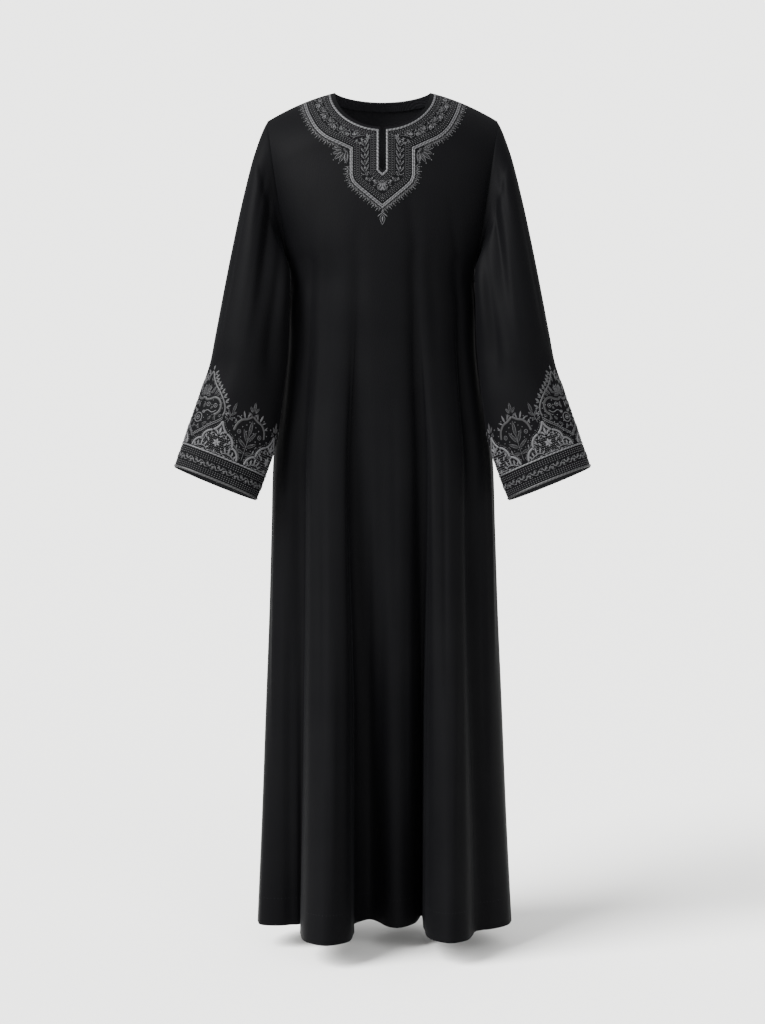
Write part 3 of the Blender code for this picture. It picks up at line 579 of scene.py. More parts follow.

# A fine diagonal twill, paler than the crepe and quite matte; part of its paleness is painted
# light for the shaded inside of the neck.
TWILL = 0.0012           # drawn twice as coarse as the real ribs
tape, shader = new_material("twilled_neck_tape_painted_light")
where = add_node(tape, "ShaderNodeTexCoord").outputs["Object"]
twill = add_node(tape, "ShaderNodeTexWave",
                 {"Vector": where, "Scale": 0.31 / TWILL, "Distortion": 0.4, "Detail": 1.0},
                 bands_direction="DIAGONAL")
bump = add_node(tape, "ShaderNodeBump",
                {"Height": twill.outputs["Fac"], "Strength": 0.4, "Distance": 0.0003})
# twill tones: the tape's own paler colour, lifted further by painted light
tones = add_node(tape, "ShaderNodeMix", {
    "Factor": twill.outputs["Fac"], 6: linear("#1b1b1d"), 7: linear("#252528")},
    data_type="RGBA")
fill(shader, {"Base Color": tones.outputs[2], "Normal": bump.outputs["Normal"],
              "Roughness": 0.72, "Specular IOR Level": 0.03})

neck = np.abs(back_grid[0, :, 0]) < NECK_HALF - SAME_PLACE
down_rows = np.argmax(back_grid[0, BACK_COLUMNS // 2, 2]
                      - back_grid[:, BACK_COLUMNS // 2, 2] > FACING_HEIGHT) + 1
under = back_grid[:down_rows, neck]
leans = back_normals[:down_rows, neck]
base = CLOTH - WALL / 2 + LAY_GAP
neck_facing = shell("neck_facing_tape", under - leans * (base + FACING), under - leans * base,
                    tape)
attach(neck_facing, "root")
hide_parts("neck_facing")


# ---------------------------------------------------------------- couched cords of the neck
# Two flat cords of silver-grey rayon, twisted from two plies, frame the yoke.
# They are laid on the crepe and caught down with small cross stitches.

CORD_WIDTH = 0.0042
YOKE_CORD_WIDTH = 0.0056  # the outer cord is doubled
CORD_HEIGHT = 0.0018
CORD_PLY = 0.0034        # length of one turn of the twist
CORD_LEAN = 0.6          # how far the twist leads at a cord's edge
PLY_GROOVE = 0.22        # depth of the groove between two plies
CORD_STEP = 0.0009
COUCH_PITCH = 0.0060     # distance between the stitches that hold a cord
COUCH_OVER = 0.0008      # how far they reach past it
COUCH_WIDTH = 0.0007
COUCH_LEAN = 0.0006
LAID_ON = 0.0001         # the hair's breadth between laid work and the crepe
NECK_CORD_HALF = 0.0908
NECK_CORD_DROP = 0.0812
SLIT_CORD_X = 0.0079
SLIT_CORD_END = -0.1520
SLIT_CORD_TIP = -0.1600
SEAM_MARGIN = 0.0035
NECK_STEPS = 24
SHOULDER_STEPS = 22
POINT_STEPS = 12
NUDGE = 0.0001
# the outer cord's corners, from the shoulder to its point: across and up
YOKE_SHOULDER = ((0.1335, -0.017), (0.1285, -0.037), (0.121, -0.056), (0.111, -0.0745),
                 (0.0965, -0.0895), (0.073, -0.102), (0.052, -0.1125))
YOKE_POINT = ((0.052, -0.159), (0.049, -0.1695), (0.0405, -0.179), (0.028, -0.19), (0.0, -0.214))

# what is sewn so far, the chart of its cloth, and how far above it the threads lie
Sewn = namedtuple("Sewn", "chunks place lift")
CHUNK = 4000             # points in one mesh of stitches before the next is begun
LAYERS = ("along", "across", "shade")

# Cross sections: across (-1 to 1) and up (0 to 1), closed underneath
FLAT_THREAD = ((-1.0, 0.0), (-0.55, 1.0), (0.55, 1.0), (1.0, 0.0), (-1.0, 0.0))
ROUND_CORD = ((-1.0, 0.0), (-0.95, 0.45), (-0.6, 0.88), (0.0, 1.0),
              (0.6, 0.88), (0.95, 0.45), (1.0, 0.0), (-1.0, 0.0))
LEAF_SECTION = ((-1.0, 0.0), (-0.6, 0.95), (0.0, 0.6), (0.6, 0.95), (1.0, 0.0), (-1.0, 0.0))


def chest(x, z):
    """Points on the outer face of the front at the chest, and their normals."""
    middle = body_point(x, z, False)
    across = body_point(x + NUDGE, z, False) - body_point(x - NUDGE, z, False)
    upward = body_point(x, z + NUDGE, False) - body_point(x, z - NUDGE, False)
    normals = np.cross(across, upward)
    normals /= np.linalg.norm(normals, axis=-1)[..., None]
    return middle + normals * (WALL / 2), normals


def run_of(path):
    """Distance along a path at each of its points."""
    return np.concatenate(([0.0], np.cumsum(np.linalg.norm(np.diff(path, axis=0), axis=1))))


def along_path(path, run, at):
    """Points of a path at distances along it."""
    return np.stack([np.interp(at, run, path[:, axis]) for axis in (0, 1)], axis=-1)


def spot_on(path, run, at, step=0.001):
    """A point at a distance along a path, and the way on from it."""
    spot = along_path(path, run, at)
    return spot, along_path(path, run, at + step) - spot


def curve(points, step, corners=False):
    """A line through charted points, sampled at a step; its corners are rounded or kept."""
    points = np.asarray(points, dtype=float)
    run = run_of(points)
    at = np.linspace(0, run[-1], max(3, round(run[-1] / step) + 1))
    if corners:
        return along_path(points, run, np.unique(np.concatenate((at, run))))
    return np.stack((smooth(run, points[:, 0], at), smooth(run, points[:, 1], at)), 1)


def new_chunk():
    """An empty mesh with the layers that the thread materials read."""
    chunk = bmesh.new()
    for layer in LAYERS:
        chunk.verts.layers.float.new(layer)
    return chunk


def lay(sewn, path, width, height, section=FLAT_THREAD, tone=0.5, ends=0.0008, swell=None,
        ply=0.0, closed=False):
    """Lays a thread or cord on the cloth, along a path of its chart."""
    path = np.asarray(path, dtype=float)
    points, normals = sewn.place(path[:, 0], path[:, 1])
    run = run_of(points)
    tangents = np.gradient(points, axis=0)
    if closed:
        tangents[0] = tangents[-1] = points[1] - points[-2]
        ply = ply and run[-1] / round(run[-1] / ply)   # whole turns all round
    sides = np.cross(tangents, normals)
    sides /= np.linalg.norm(sides, axis=1)[:, None]
    if swell is not None:
        size = np.interp(np.linspace(0, 1, len(path)), np.linspace(0, 1, len(swell)), swell)
    elif closed:
        size = np.ones(len(path))
    else:
        size = np.clip(np.minimum(run, run[-1] - run) / ends, 0.0, 1.0) ** 0.6
    if len(sewn.chunks[-1].verts) > CHUNK:
        sewn.chunks.append(new_chunk())
    chunk = sewn.chunks[-1]
    made = bmesh.ops.create_grid(chunk, x_segments=len(path) - 1,
                                 y_segments=len(section) - 1, size=1.0)["verts"]
    along, across, shade = (chunk.verts.layers.float[layer] for layer in LAYERS)
    for k, (a, b) in enumerate(section):
        wide = a * width / 2 * size
        high = b * height * size ** 0.7
        if ply and b > 0:
            bulge = 1 - PLY_GROOVE * np.abs(np.sin(math.pi * (run / ply + a * CORD_LEAN)))
            wide = wide * (0.5 + 0.5 * bulge)
            high = high * bulge
        spots = points + sides * wide[:, None] + normals * (high + sewn.lift)[:, None]
        for i, spot in enumerate(spots):
            vert = made[k * len(path) + i]
            vert.co = spot
            vert[along] = run[i]
            vert[across] = a
            vert[shade] = tone


def worked(name, chunks, material):
    """The finished threads in one mesh; each chunk's wrapped and pinched ends are closed."""
    whole = new_chunk()
    for chunk in chunks:
        bmesh.ops.remove_doubles(chunk, verts=chunk.verts[:], dist=SAME_PLACE)
        bmesh.ops.recalc_face_normals(chunk, faces=chunk.faces[:])
        mesh = bpy.data.meshes.new("chunk")
        chunk.to_mesh(mesh)
        chunk.free()
        whole.from_mesh(mesh)
        bpy.data.meshes.remove(mesh)
    return finished(name, whole, material)


def rounded(points, steps):
    """A smooth curve through a few outline points."""
    points = np.array(points)
    run = run_of(points)
    at = np.linspace(0, run[-1], steps + 1)
    return list(zip(smooth(run, points[:, 0], at), smooth(run, points[:, 1], at)))


def both_halves(path):
    """A half at +X and its mirror image, as one path that runs from -X to +X."""
    return np.array([(-x, z) for x, z in path[:-1]] + list(path[::-1]))


def beside(path, distance):
    """A path moved sideways by a distance, with mitred corners."""
    steps = np.diff(path, axis=0)
    steps /= np.linalg.norm(steps, axis=1)[:, None]
    sides = np.stack((-steps[:, 1], steps[:, 0]), axis=1)
    joint = np.concatenate((sides[:1], sides[:-1] + sides[1:], sides[-1:]))
    joint /= np.linalg.norm(joint, axis=1)[:, None]
    width = np.concatenate((sides[:1], sides[1:], sides[-1:]))
    reach = np.maximum(np.sum(joint * width, axis=1), 0.5)
    return path + joint * (distance / reach)[:, None]


def couch(sewn, path, reach, height):
    """The small slanting stitches over a cord, one for each pitch of it."""
    sewn = sewn._replace(lift=0.0)
    run = run_of(path)
    for at in np.arange(COUCH_PITCH / 2, run[-1], COUCH_PITCH):
        spot, ahead = spot_on(path, run, at, NUDGE)
        if np.linalg.norm(ahead) < NUDGE / 2:
            continue
        ahead /= np.linalg.norm(ahead)
        half = np.array([-ahead[1], ahead[0]]) * reach / 2 + ahead * COUCH_LEAN
        lay(sewn, [spot - half, spot - half * 0.6, spot + half * 0.6, spot + half],
            COUCH_WIDTH, height, tone=0.3, swell=(0.0, 0.95, 0.95, 0.0))


def twist(material, turn, lean):
    """How far round its twist a thread is, and the rise and fall of its plies."""
    along, across, shade = (
        add_node(material, "ShaderNodeAttribute", attribute_name=layer).outputs["Fac"]
        for layer in LAYERS)
    turned = add_node(material, "ShaderNodeMath", {0: along, 1: 1 / turn}, operation="MULTIPLY")
    leaned = add_node(material, "ShaderNodeMath",
                      {0: across, 1: lean, 2: turned.outputs["Value"]},
                      operation="MULTIPLY_ADD").outputs["Value"]
    wound = add_node(material, "ShaderNodeMath", {0: leaned, 1: 1.0}, operation="PINGPONG")
    return across, shade, leaned, wound.outputs["Value"]


turns = np.linspace(math.asin(SEAM_MARGIN / NECK_CORD_DROP),
                    math.acos(SLIT_CORD_X / NECK_CORD_HALF), NECK_STEPS + 1)
neck_half = list(zip(NECK_CORD_HALF * np.cos(turns), -NECK_CORD_DROP * np.sin(turns)))
neck_half += [(SLIT_CORD_X, SLIT_CORD_END), (0.0, SLIT_CORD_TIP)]
yoke_half = rounded(YOKE_SHOULDER, SHOULDER_STEPS) + rounded(YOKE_POINT, POINT_STEPS)
yoke_half[0] = (yoke_half[0][0], yoke_half[0][1] - SEAM_MARGIN)
neck_path = both_halves(neck_half)
yoke_path = both_halves(yoke_half)

# Silver-grey rayon cord: smooth filaments with a soft silky shine, with painted shade
# darkening the grooves between the plies.
silver_cord, shader = new_material("silver_rayon_cord")
across, shade, leaned, wound = twist(silver_cord, CORD_PLY, CORD_LEAN)
filaments = add_node(silver_cord, "ShaderNodeTexNoise", {
    "Vector": add_node(silver_cord, "ShaderNodeCombineXYZ",
                       {"X": leaned, "Y": across}).outputs["Vector"],
    "Scale": 9.0, "Detail": 2.0})
# painted shade: the colour darkens in the grooves between the plies
tones = add_node(silver_cord, "ShaderNodeMix", {
    "Factor": wound, 6: linear("#202021"), 7: linear("#454547")}, data_type="RGBA")
# each cord's colour is scaled by its tone; the cuff's edge cord is given a darker tone
cord_tone_scaled = add_node(silver_cord, "ShaderNodeMix", {
    "Factor": 1.0, 6: tones.outputs[2], 7: shade}, data_type="RGBA", blend_type="MULTIPLY")
bump = add_node(silver_cord, "ShaderNodeBump",
                {"Height": filaments.outputs["Fac"], "Strength": 0.35, "Distance": 0.0003})
fill(shader, {"Base Color": cord_tone_scaled.outputs[2], "Normal": bump.outputs["Normal"],
              "Roughness": 0.42, "Specular IOR Level": 0.22})

for name, path, width, plies in (("neck_cord", neck_path, CORD_WIDTH, (0.0,)),
                                 ("yoke_cord", yoke_path, YOKE_CORD_WIDTH, (-0.25, 0.25))):
    sewn = Sewn([new_chunk()], chest, LAID_ON)
    for share in plies:
        line = curve(beside(path, share * width), CORD_STEP, corners=True)
        lay(sewn, line, width / len(plies), CORD_HEIGHT, section=ROUND_CORD, tone=1.0,
            ply=CORD_PLY)
    couch(sewn, curve(path, CORD_STEP, corners=True), width + COUCH_OVER, CORD_HEIGHT + LAID_ON)
    cord = worked(f"{name}_couched", sewn.chunks, silver_cord)
    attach(cord, "root")
    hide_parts(name)


# ---------------------------------------------------------------- yoke embroidery
# Between the cords the yoke is worked in silver-grey thread: rows of running stitch follow both
# cords, and a vine with satin-stitch leaves and chevrons runs between them.  A picot edging of
# forked twigs grows outside the outer cord, with a palmette at each corner.

THREAD = 0.0008          # width of a single thread
THREAD_HEIGHT = 0.0006
LEAF_HEIGHT = 0.0009
LEAF_SWELL = (0.0, 0.72, 1.0, 0.95, 0.62, 0.0)
KNOT_SWELL = (0.0, 0.85, 1.0, 0.85, 0.0)
TWIST = 0.0011           # twice the real twist, which is too fine to show
STEM_STEP = 0.0012
MM = 0.001
UP = math.pi / 2         # the way up a chart

# Two-ply rayon embroidery thread: soft silvery grey with a low sheen and a visible twist, with
# painted shade in the twist's grooves.
rayon, shader = new_material("grey_rayon_thread")
across, shade, leaned, wound = twist(rayon, TWIST, 0.5)
dyed = add_node(rayon, "ShaderNodeMix", {
    "Factor": shade, 6: linear("#0c0c0d"), 7: linear("#4c4c4e")}, data_type="RGBA")
# painted shade: the colour darkens in the grooves of the twist
painted_groove_shade = add_node(rayon, "ShaderNodeMapRange", {"Value": wound, "To Min": 0.62, "To Max": 1.0})
tones = add_node(rayon, "ShaderNodeMix", {
    "Factor": 1.0, 6: dyed.outputs[2], 7: painted_groove_shade.outputs["Result"]},
    data_type="RGBA", blend_type="MULTIPLY")
bump = add_node(rayon, "ShaderNodeBump",
                {"Height": wound, "Strength": 0.5, "Distance": 0.0002})
fill(shader, {"Base Color": tones.outputs[2], "Normal": bump.outputs["Normal"],
              "Roughness": 0.46, "Specular IOR Level": 0.18})


def turned_to(points, origin, aim, flip=1.0):
    """Charted points set at an origin and turned so that their +y runs along aim."""
    points = np.atleast_2d(np.asarray(points, dtype=float))
    ahead = np.array([math.cos(aim), math.sin(aim)])
    right = np.array([ahead[1], -ahead[0]]) * flip
    return np.asarray(origin) + points[:, :1] * right + points[:, 1:] * ahead


def spot_at(x, y, origin, aim, flip=1.0):
    """The spot so many millimetres across and along from an origin."""
    return turned_to([(x * MM, y * MM)], origin, aim, flip)[0]


def dashes(sewn, path, pitch, long, width, tone):
    """A row of separate running stitches along a path."""
    run = run_of(path)
    count = max(1, round(run[-1] / pitch))
    for k in range(count):
        at = (k + 0.5) * run[-1] / count + long * np.array([-0.5, -0.25, 0.25, 0.5])
        lay(sewn, along_path(path, run, at), width, THREAD_HEIGHT, tone=tone,
            swell=(0.0, 1.0, 1.0, 0.0))


def leaf(sewn, root, aim, length, width, tone, bend=0.0, steps=5):
    """A satin-stitch leaf from its root towards aim, bent sideways at its tip."""
    t = np.linspace(0, 1, steps + 1)
    chart = np.stack((bend * t ** 2 * length, t * length), 1)
    lay(sewn, turned_to(chart, root, aim), width, LEAF_HEIGHT, section=LEAF_SECTION,
        tone=tone, swell=LEAF_SWELL)


def knot(sewn, spot, size, tone):
    """A French knot, its size in millimetres."""
    chart = np.array([(0, -0.5), (0, -0.25), (0, 0), (0, 0.25), (0, 0.5)]) * size * MM
    lay(sewn, turned_to(chart, spot, 0.3), size * MM, size * MM * 0.55, tone=tone,
        swell=KNOT_SWELL)


def knots(sewn, origin, aim, spots, tone, size=2.0, flip=1.0):
    """Knots in millimetres from an origin; a third figure is a knot's own size."""
    for x, y, *own in spots:
        knot(sewn, spot_at(x, y, origin, aim, flip), own[0] if own else size, tone)


def ring(sewn, spot, radius, width, tone, steps=10):
    """A small ring of couched thread."""
    turn = np.linspace(0, 2 * math.pi, steps + 1)
    lay(sewn, spot + np.stack((np.cos(turn), np.sin(turn)), 1) * radius, width,
        THREAD_HEIGHT, tone=tone, closed=True)


def stem(sewn, origin, aim, points, flip=1.0, width=THREAD, tone=0.5):
    """A stem-stitch line through points in millimetres from its root."""
    path = curve(np.asarray(points) * MM, STEM_STEP)
    lay(sewn, turned_to(path, origin, aim, flip), width, THREAD_HEIGHT, tone=tone)


def open_leaf(sewn, root, aim, length, width, tone, vein=0.3):
    """A leaf drawn as its outline in stem stitch, with a satin vein."""
    line = max(THREAD, width * 0.19)
    side = np.array([(0, 0), (0.42, 0.26), (0.5, 0.5), (0.32, 0.78), (0, 1)])
    for flip in (1.0, -1.0):
        chart = side * (width - line, length)
        lay(sewn, turned_to(chart, root, aim, flip), line, THREAD_HEIGHT, tone=tone, ends=0.0004)
    if vein:
        leaf(sewn, turned_to([(0, length * 0.12)], root, aim)[0], aim, length * 0.68,
             width * 0.30, tone * vein, steps=4)


def sprig(sewn, origin, aim, leaves, flip=1.0, scale=1.0, tone=0.6, drawn=leaf):
    """Leaves in rows of x, y, lean, length and width, in millimetres from the sprig's root."""
    for x, y, lean, length, width in leaves:
        drawn(sewn, spot_at(x * scale, y * scale, origin, aim, flip),
              aim - flip * math.radians(lean), length * MM * scale, width * MM * scale, tone)


def paired(x, y, lean, length, width):
    """A leaf of a sprig and its mirror image."""
    return (x, y, lean, length, width), (-x, y, -lean, length, width)


def spiral(turns, radius, start):
    """Points of a curl in millimetres, from its outside to its eye."""
    t = np.linspace(0, 1, 7 + int(6 * turns))
    angle = math.radians(start) + t * turns * 2 * math.pi
    reach = radius * (1 - 0.82 * t)
    return np.stack((reach * np.cos(angle), reach * np.sin(angle)), 1)


# the band between the cords, charted by distance along it and share across it
def cut(path, counts, corners):
    """A path cut at its corners and sampled so many times between them."""
    path = np.array(path)
    parts = []
    for count, first, last in zip(counts, corners[:-1], corners[1:]):
        run = run_of(path[first:last + 1])
        at = np.linspace(0, run[-1], count + 1)[:-1]
        parts.append(along_path(path[first:last + 1], run, at))
    return np.concatenate(parts + [path[-1:]])


BAND_STEPS = (32, 10, 12)
band_inner = cut(neck_half, BAND_STEPS, (0, NECK_STEPS, NECK_STEPS + 1, NECK_STEPS + 2))
band_outer = cut(yoke_half, BAND_STEPS, (0, SHOULDER_STEPS, SHOULDER_STEPS + 1,
                                         SHOULDER_STEPS + 1 + POINT_STEPS))
band_run = run_of((band_inner + band_outer) / 2)
neck_end = band_run[BAND_STEPS[0]]      # here the band turns down beside the slit,
point_from = band_run[BAND_STEPS[0] + BAND_STEPS[1]]     # and here round its point


def band(along, share, half):
    """Places on the yoke's band; half is 1 for the wearer's left and -1 for the right."""
    inner = along_path(band_inner, band_run, along)
    outer = along_path(band_outer, band_run, along)
    share = np.asarray(share)[..., None]
    return (inner + (outer - inner) * share) * (half, 1.0)


def heading(along, share, half, reach=0.002):
    """Direction along the band at a place."""
    ahead = band(along + reach, share, half) - band(along - reach, share, half)
    return math.atan2(ahead[1], ahead[0])


# the band's ground: a closely woven black band under the stitches
GROUND_ROWS = 8
GROUND = 0.0005
CORD_CLEAR = 0.0003      # the cords stand clear of the band's edges
upper = beside(both_halves(band_inner), -CORD_WIDTH / 2 - CORD_CLEAR)
lower = beside(both_halves(band_outer), YOKE_CORD_WIDTH / 2 + CORD_CLEAR)
share = np.linspace(0, 1, GROUND_ROWS + 1)[:, None, None]
flat = upper[None] * (1 - share) + lower[None] * share
points, normals = chest(flat[:, :, 0], flat[:, :, 1])
yoke_ground = shell("yoke_ground_band", points + normals * LAID_ON, points + normals * GROUND,
                    crepe)
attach(yoke_ground, "root")
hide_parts("yoke_plate")

# rows that follow the cords: running stitches between thin lines
STITCH_PITCH = 0.0042
STITCH = 0.0022
STITCH_WIDTH = 0.0013
ROW_LINE = 0.0006
ROW_STEP = 0.002
yoke = Sewn([new_chunk()], chest, GROUND)
for path, side, rows, lines in ((neck_path, -1, (0.0046, 0.0094), (0.0071, 0.0117)),
                                (yoke_path, 1, (0.0060, 0.0110), (0.0085, 0.0134))):
    for distance in rows:
        dashes(yoke, curve(beside(path, side * distance), ROW_STEP, corners=True),
               STITCH_PITCH, STITCH, STITCH_WIDTH, 0.55)
    for distance in lines:
        lay(yoke, curve(beside(path, side * distance), ROW_STEP, corners=True),
            ROW_LINE, THREAD_HEIGHT, tone=0.30)

VINE_SPAN = (0.0015, 0.0040)     # bare at the vine's start and end
VINE_STEP = 0.0014
VINE_WAVE = 0.0250
VINE_SWING = 0.100
VINE_SHARE = 0.470       # the vine's middle line, as a share across the band
CHEVRONS = 5
CHEVRONS_FROM = 0.0015
CHEVRON_SHARE = 0.485
SCROLLS = 4
SCROLLS_FROM = 0.0045
SCROLL_PITCH = 0.0118
SCROLL_SHARE = 0.475
SPRAY_SHARE = 0.42
ACCENTS = (0.55, 0.95, 0.40, 0.75, 0.35, 0.90, 0.50)
BUD = ((0, 0, 0, 6.6, 2.9), *paired(0.7, 0.2, 46, 5.2, 2.2))


def shoulder_vine(half):
    """The vine of the shoulders: a wave with a curl, buds, leaves and knots in each bay."""
    vine_end = neck_end - VINE_SPAN[1]
    at = np.arange(VINE_SPAN[0], vine_end, VINE_STEP)
    swing = VINE_SHARE + VINE_SWING * np.sin(2 * math.pi * at / VINE_WAVE)
    lay(yoke, band(at, swing, half), THREAD, THREAD_HEIGHT, tone=0.45)
    for k in range(int(vine_end / (VINE_WAVE / 2))):
        bay = (k + 0.5) * VINE_WAVE / 2
        up = 1.0 if k % 2 else -1.0
        turn = half * up
        outward = heading(bay, VINE_SHARE, half) - turn * UP
        accent = ACCENTS[k % len(ACCENTS)]

        def in_bay(step, share):
            return band(bay + step, VINE_SHARE + up * share, half)

        stem(yoke, in_bay(0.0, 0.120), outward, spiral(1.25, 4.9, 250.0), flip=turn, tone=0.42)
        knot(yoke, in_bay(0.0, 0.120), 2.4, accent)
        sprig(yoke, in_bay(0.0012, -0.02), outward + math.pi + 0.35 * turn, BUD, scale=0.95,
              tone=accent * 0.8)
        sprig(yoke, in_bay(-0.0052, 0.10), outward + 0.5 * turn, BUD, scale=0.75, tone=0.34)
        for step, share, turn_by, long in ((0.0052, 0.15, -0.5, 5.6), (0.0046, -0.16, 2.4, 5.4),
                                           (-0.0048, -0.19, 2.9, 5.8)):
            leaf(yoke, in_bay(step, share), outward + turn * turn_by, long * MM, 0.0021, 0.36)
        for step, share, size in ((-0.0056, 0.21, 1.6), (0.0058, 0.02, 1.7),
                                  (0.0010, -0.20, 1.7), (-0.0060, -0.10, 1.6)):
            knot(yoke, in_bay(step, share), size, 0.40)


def chevrons(half):
    """Chevrons beside the slit, each with a leaf in its mouth."""
    first = neck_end + CHEVRONS_FROM
    pitch = (point_from - first) / CHEVRONS
    for k in range(CHEVRONS):
        low = first + k * pitch
        for edge in (0.315, 0.655):
            for step, wide, tone in ((0.0, 0.0015, 0.50), (0.0030, 0.0008, 0.36)):
                stroke = np.array([band(low + pitch * t - step,
                                        edge + (CHEVRON_SHARE - edge) * t ** 1.2, half)
                                   for t in (0.05, 0.40, 0.75, 1.0)])
                lay(yoke, stroke, wide, THREAD_HEIGHT, tone=tone)
        aim = heading(low + pitch / 2, CHEVRON_SHARE, half)
        leaf(yoke, band(low + pitch * 0.52, CHEVRON_SHARE, half), aim + math.pi, 0.0052, 0.0024,
             tone=ACCENTS[(k + 1) % len(ACCENTS)] * 0.8)
        for share, turn_by in ((0.335, 0.6), (0.635, -0.6)):
            leaf(yoke, band(low + pitch * 0.95, share, half), aim + half * turn_by, 0.0042,
                 0.0019, 0.45)
            knot(yoke, band(low + pitch * 0.72, share, half), 1.4, 0.4)


def point_scrolls(half):
    """Curls with leaves and knots, down to the point."""
    for k in range(SCROLLS):
        low = point_from + SCROLLS_FROM + k * SCROLL_PITCH
        aim = heading(low, SCROLL_SHARE, half)
        up = 1.0 if k % 2 else -1.0
        origin = band(low, SCROLL_SHARE + up * 0.045, half)
        stem(yoke, origin, aim, spiral(1.25, 4.3, 200.0 * up), flip=up * half)
        knot(yoke, origin, 2.0, 0.8)
        for step, share, turn_by, long in ((0.005, -0.10, 0.5, 6.4), (0.004, -0.02, -0.4, 5.6),
                                           (-0.002, -0.13, 0.9, 5.0)):
            leaf(yoke, band(low + step, SCROLL_SHARE + up * share, half),
                 aim + up * half * turn_by, long * MM, 0.0023,
                 tone=ACCENTS[(k + 2) % len(ACCENTS)] * 0.8)
        for step, share in ((-0.004, 0.13), (0.004, 0.15), (0.0, -0.17)):
            knot(yoke, band(low + step, SCROLL_SHARE + up * share, half), 1.6, 0.45)


def corner_spray(half):
    """Buds and knots in the corner where the shoulders meet the slit."""
    aim = heading(neck_end - 0.004, SPRAY_SHARE, half) - half * 0.9
    for step, share, turn_by, scale, tone in (
            (0.0, 0.42, 0.0, 1.15, 0.50), (0.0, 0.42, 2.2, 0.90, 0.35),
            (-0.0030, 0.58, 0.5, 0.85, 0.62), (0.0, 0.66, 2.4, 0.85, 0.40),
            (-0.0085, 0.66, 1.1, 0.85, 0.42)):
        sprig(yoke, band(neck_end + step, share, half), aim + half * turn_by, BUD, scale=scale,
              tone=tone)
    for step, share in ((-0.006, 0.12), (0.0, 0.30), (0.003, 0.14), (-0.004, -0.12),
                        (0.001, -0.10)):
        knot(yoke, band(neck_end + step, SPRAY_SHARE + share, half), 1.9, 0.42)


for half in (1.0, -1.0):
    shoulder_vine(half)
    chevrons(half)
    point_scrolls(half)
    corner_spray(half)

# the palmette in the middle of the point
POINT_PALMETTE = ((0, 0, 0, 12, 3.8), *paired(0.9, 0.6, 30, 10.4, 3.0),
                  *paired(1.4, 0.4, 60, 8.6, 2.6), *paired(1.6, -0.4, 92, 7.0, 2.2))
sprig(yoke, (0.0, -0.1735), -UP, POINT_PALMETTE, tone=0.45)
ring(yoke, np.array([0.0, -0.1715]), 0.0016, THREAD, 0.8)

# picot edging outside the outer cord: twigs that fork, with knots between them
yoke = yoke._replace(lift=0.0)
PICOT_PITCH = 0.0086
PICOT = ((0, 3.6, 0, 5.6, 2.6), *paired(0.4, 1.6, 50, 6.2, 2.3))
PICOT_KNOTS = ((0, 10.2, 1.7), (4.2, 7.4, 1.3), (-4.2, 7.4, 1.3))
HALF_PICOT = ((0, 0.2, 0, 3.4, 1.9),)
CORNER_X = (0.0500, 0.0700)      # no picot where a corner's palmette grows
CORNER_Z = (-0.142, -0.101)
edge = beside(yoke_path, -YOKE_CORD_WIDTH / 2)
run = run_of(edge)
count = 2 * round(run[-1] / PICOT_PITCH)
for k in range(count):
    spot, ahead = spot_on(edge, run, (k + 0.5) * run[-1] / count)
    outward = math.atan2(ahead[1], ahead[0]) - UP
    if CORNER_X[0] < abs(spot[0]) < CORNER_X[1] and CORNER_Z[0] < spot[1] < CORNER_Z[1]:
        continue
    tone = 0.20 + 0.12 * (k % 3)
    if k % 2:
        stem(yoke, spot, outward, ((0, 0), (0, 1.0), (0, 2.4)), tone=0.28)
        sprig(yoke, spot, outward, HALF_PICOT, tone=tone)
        knots(yoke, spot, outward, ((0, 5.8),), 0.30, 1.6)
    else:
        stem(yoke, spot, outward, ((0, 0), (0, 2.0), (0, 4.2)), tone=0.30)
        sprig(yoke, spot, outward, PICOT, tone=tone)
        knots(yoke, spot, outward, PICOT_KNOTS, tone + 0.12)

# palmettes at the outer corners, each with a long bud hanging beside the cord
FAN_ROOT = (0.0590, -0.1130)
FAN = ((-38, 24), (-17, 28), (4, 30), (25, 29), (46, 25))     # each petal's angle and reach
FAN_KNOTS = ((-60, 13), (-46, 20), (-33, 22), (46, 18), (60, 14))
FAN_AIM = math.radians(54)
for half in (1.0, -1.0):
    root = np.array(FAN_ROOT) * (half, 1.0)
    aim = half * FAN_AIM - UP
    for angle, long in FAN:
        toward = aim - half * math.radians(angle)
        open_leaf(yoke, spot_at(0, 8.5, root, toward), toward, long * MM - 0.0100, 0.0064, 0.50)
        knot(yoke, spot_at(0, long, root, toward), 2.1, 0.60)
        leaf(yoke, spot_at(0, 2.8, root, toward), toward, 0.0050, 0.0020, tone=0.30)
    for angle, reach in FAN_KNOTS:
        knot(yoke, spot_at(0, reach, root, aim - half * math.radians(angle)), 1.6, 0.45)
    open_leaf(yoke, root + np.array([half * 0.0010, -0.0030]), half * 0.03 - UP, 0.0240,
              0.0068, 0.40, vein=0.0)

# the drop that hangs from the point
DROP_Z = -0.2172
tip = np.array([0.0, DROP_Z])
stem(yoke, tip, -UP, ((0, 0), (0, 4), (0, 9)), tone=0.7)
ring(yoke, tip + np.array([0.0, -0.0060]), 0.0015, THREAD, 0.8)
for side in (1.0, -1.0):
    stem(yoke, tip, -UP, ((0.4, 8.1), (3.4, 10.2), (8.2, 14.4)), flip=side, tone=0.75,
         width=0.0014)
    stem(yoke, tip, -UP, ((0, 10.2), (2.8, 14), (4.0, 18), (2.6, 23), (0, 28.4)),
         flip=side, tone=0.62, width=0.0010)
leaf(yoke, tip + np.array([0.0, -0.0135]), -UP, 0.0100, 0.0026, tone=0.7)

yoke_embroidery = worked("yoke_embroidery_thread", yoke.chunks, rayon)
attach(yoke_embroidery, "root")


# ---------------------------------------------------------------- hem stitches
# The turned-up hem is caught by hand from the inside.  Of each stitch only a prick of the
# black sewing thread shows, in a level row above the edge.

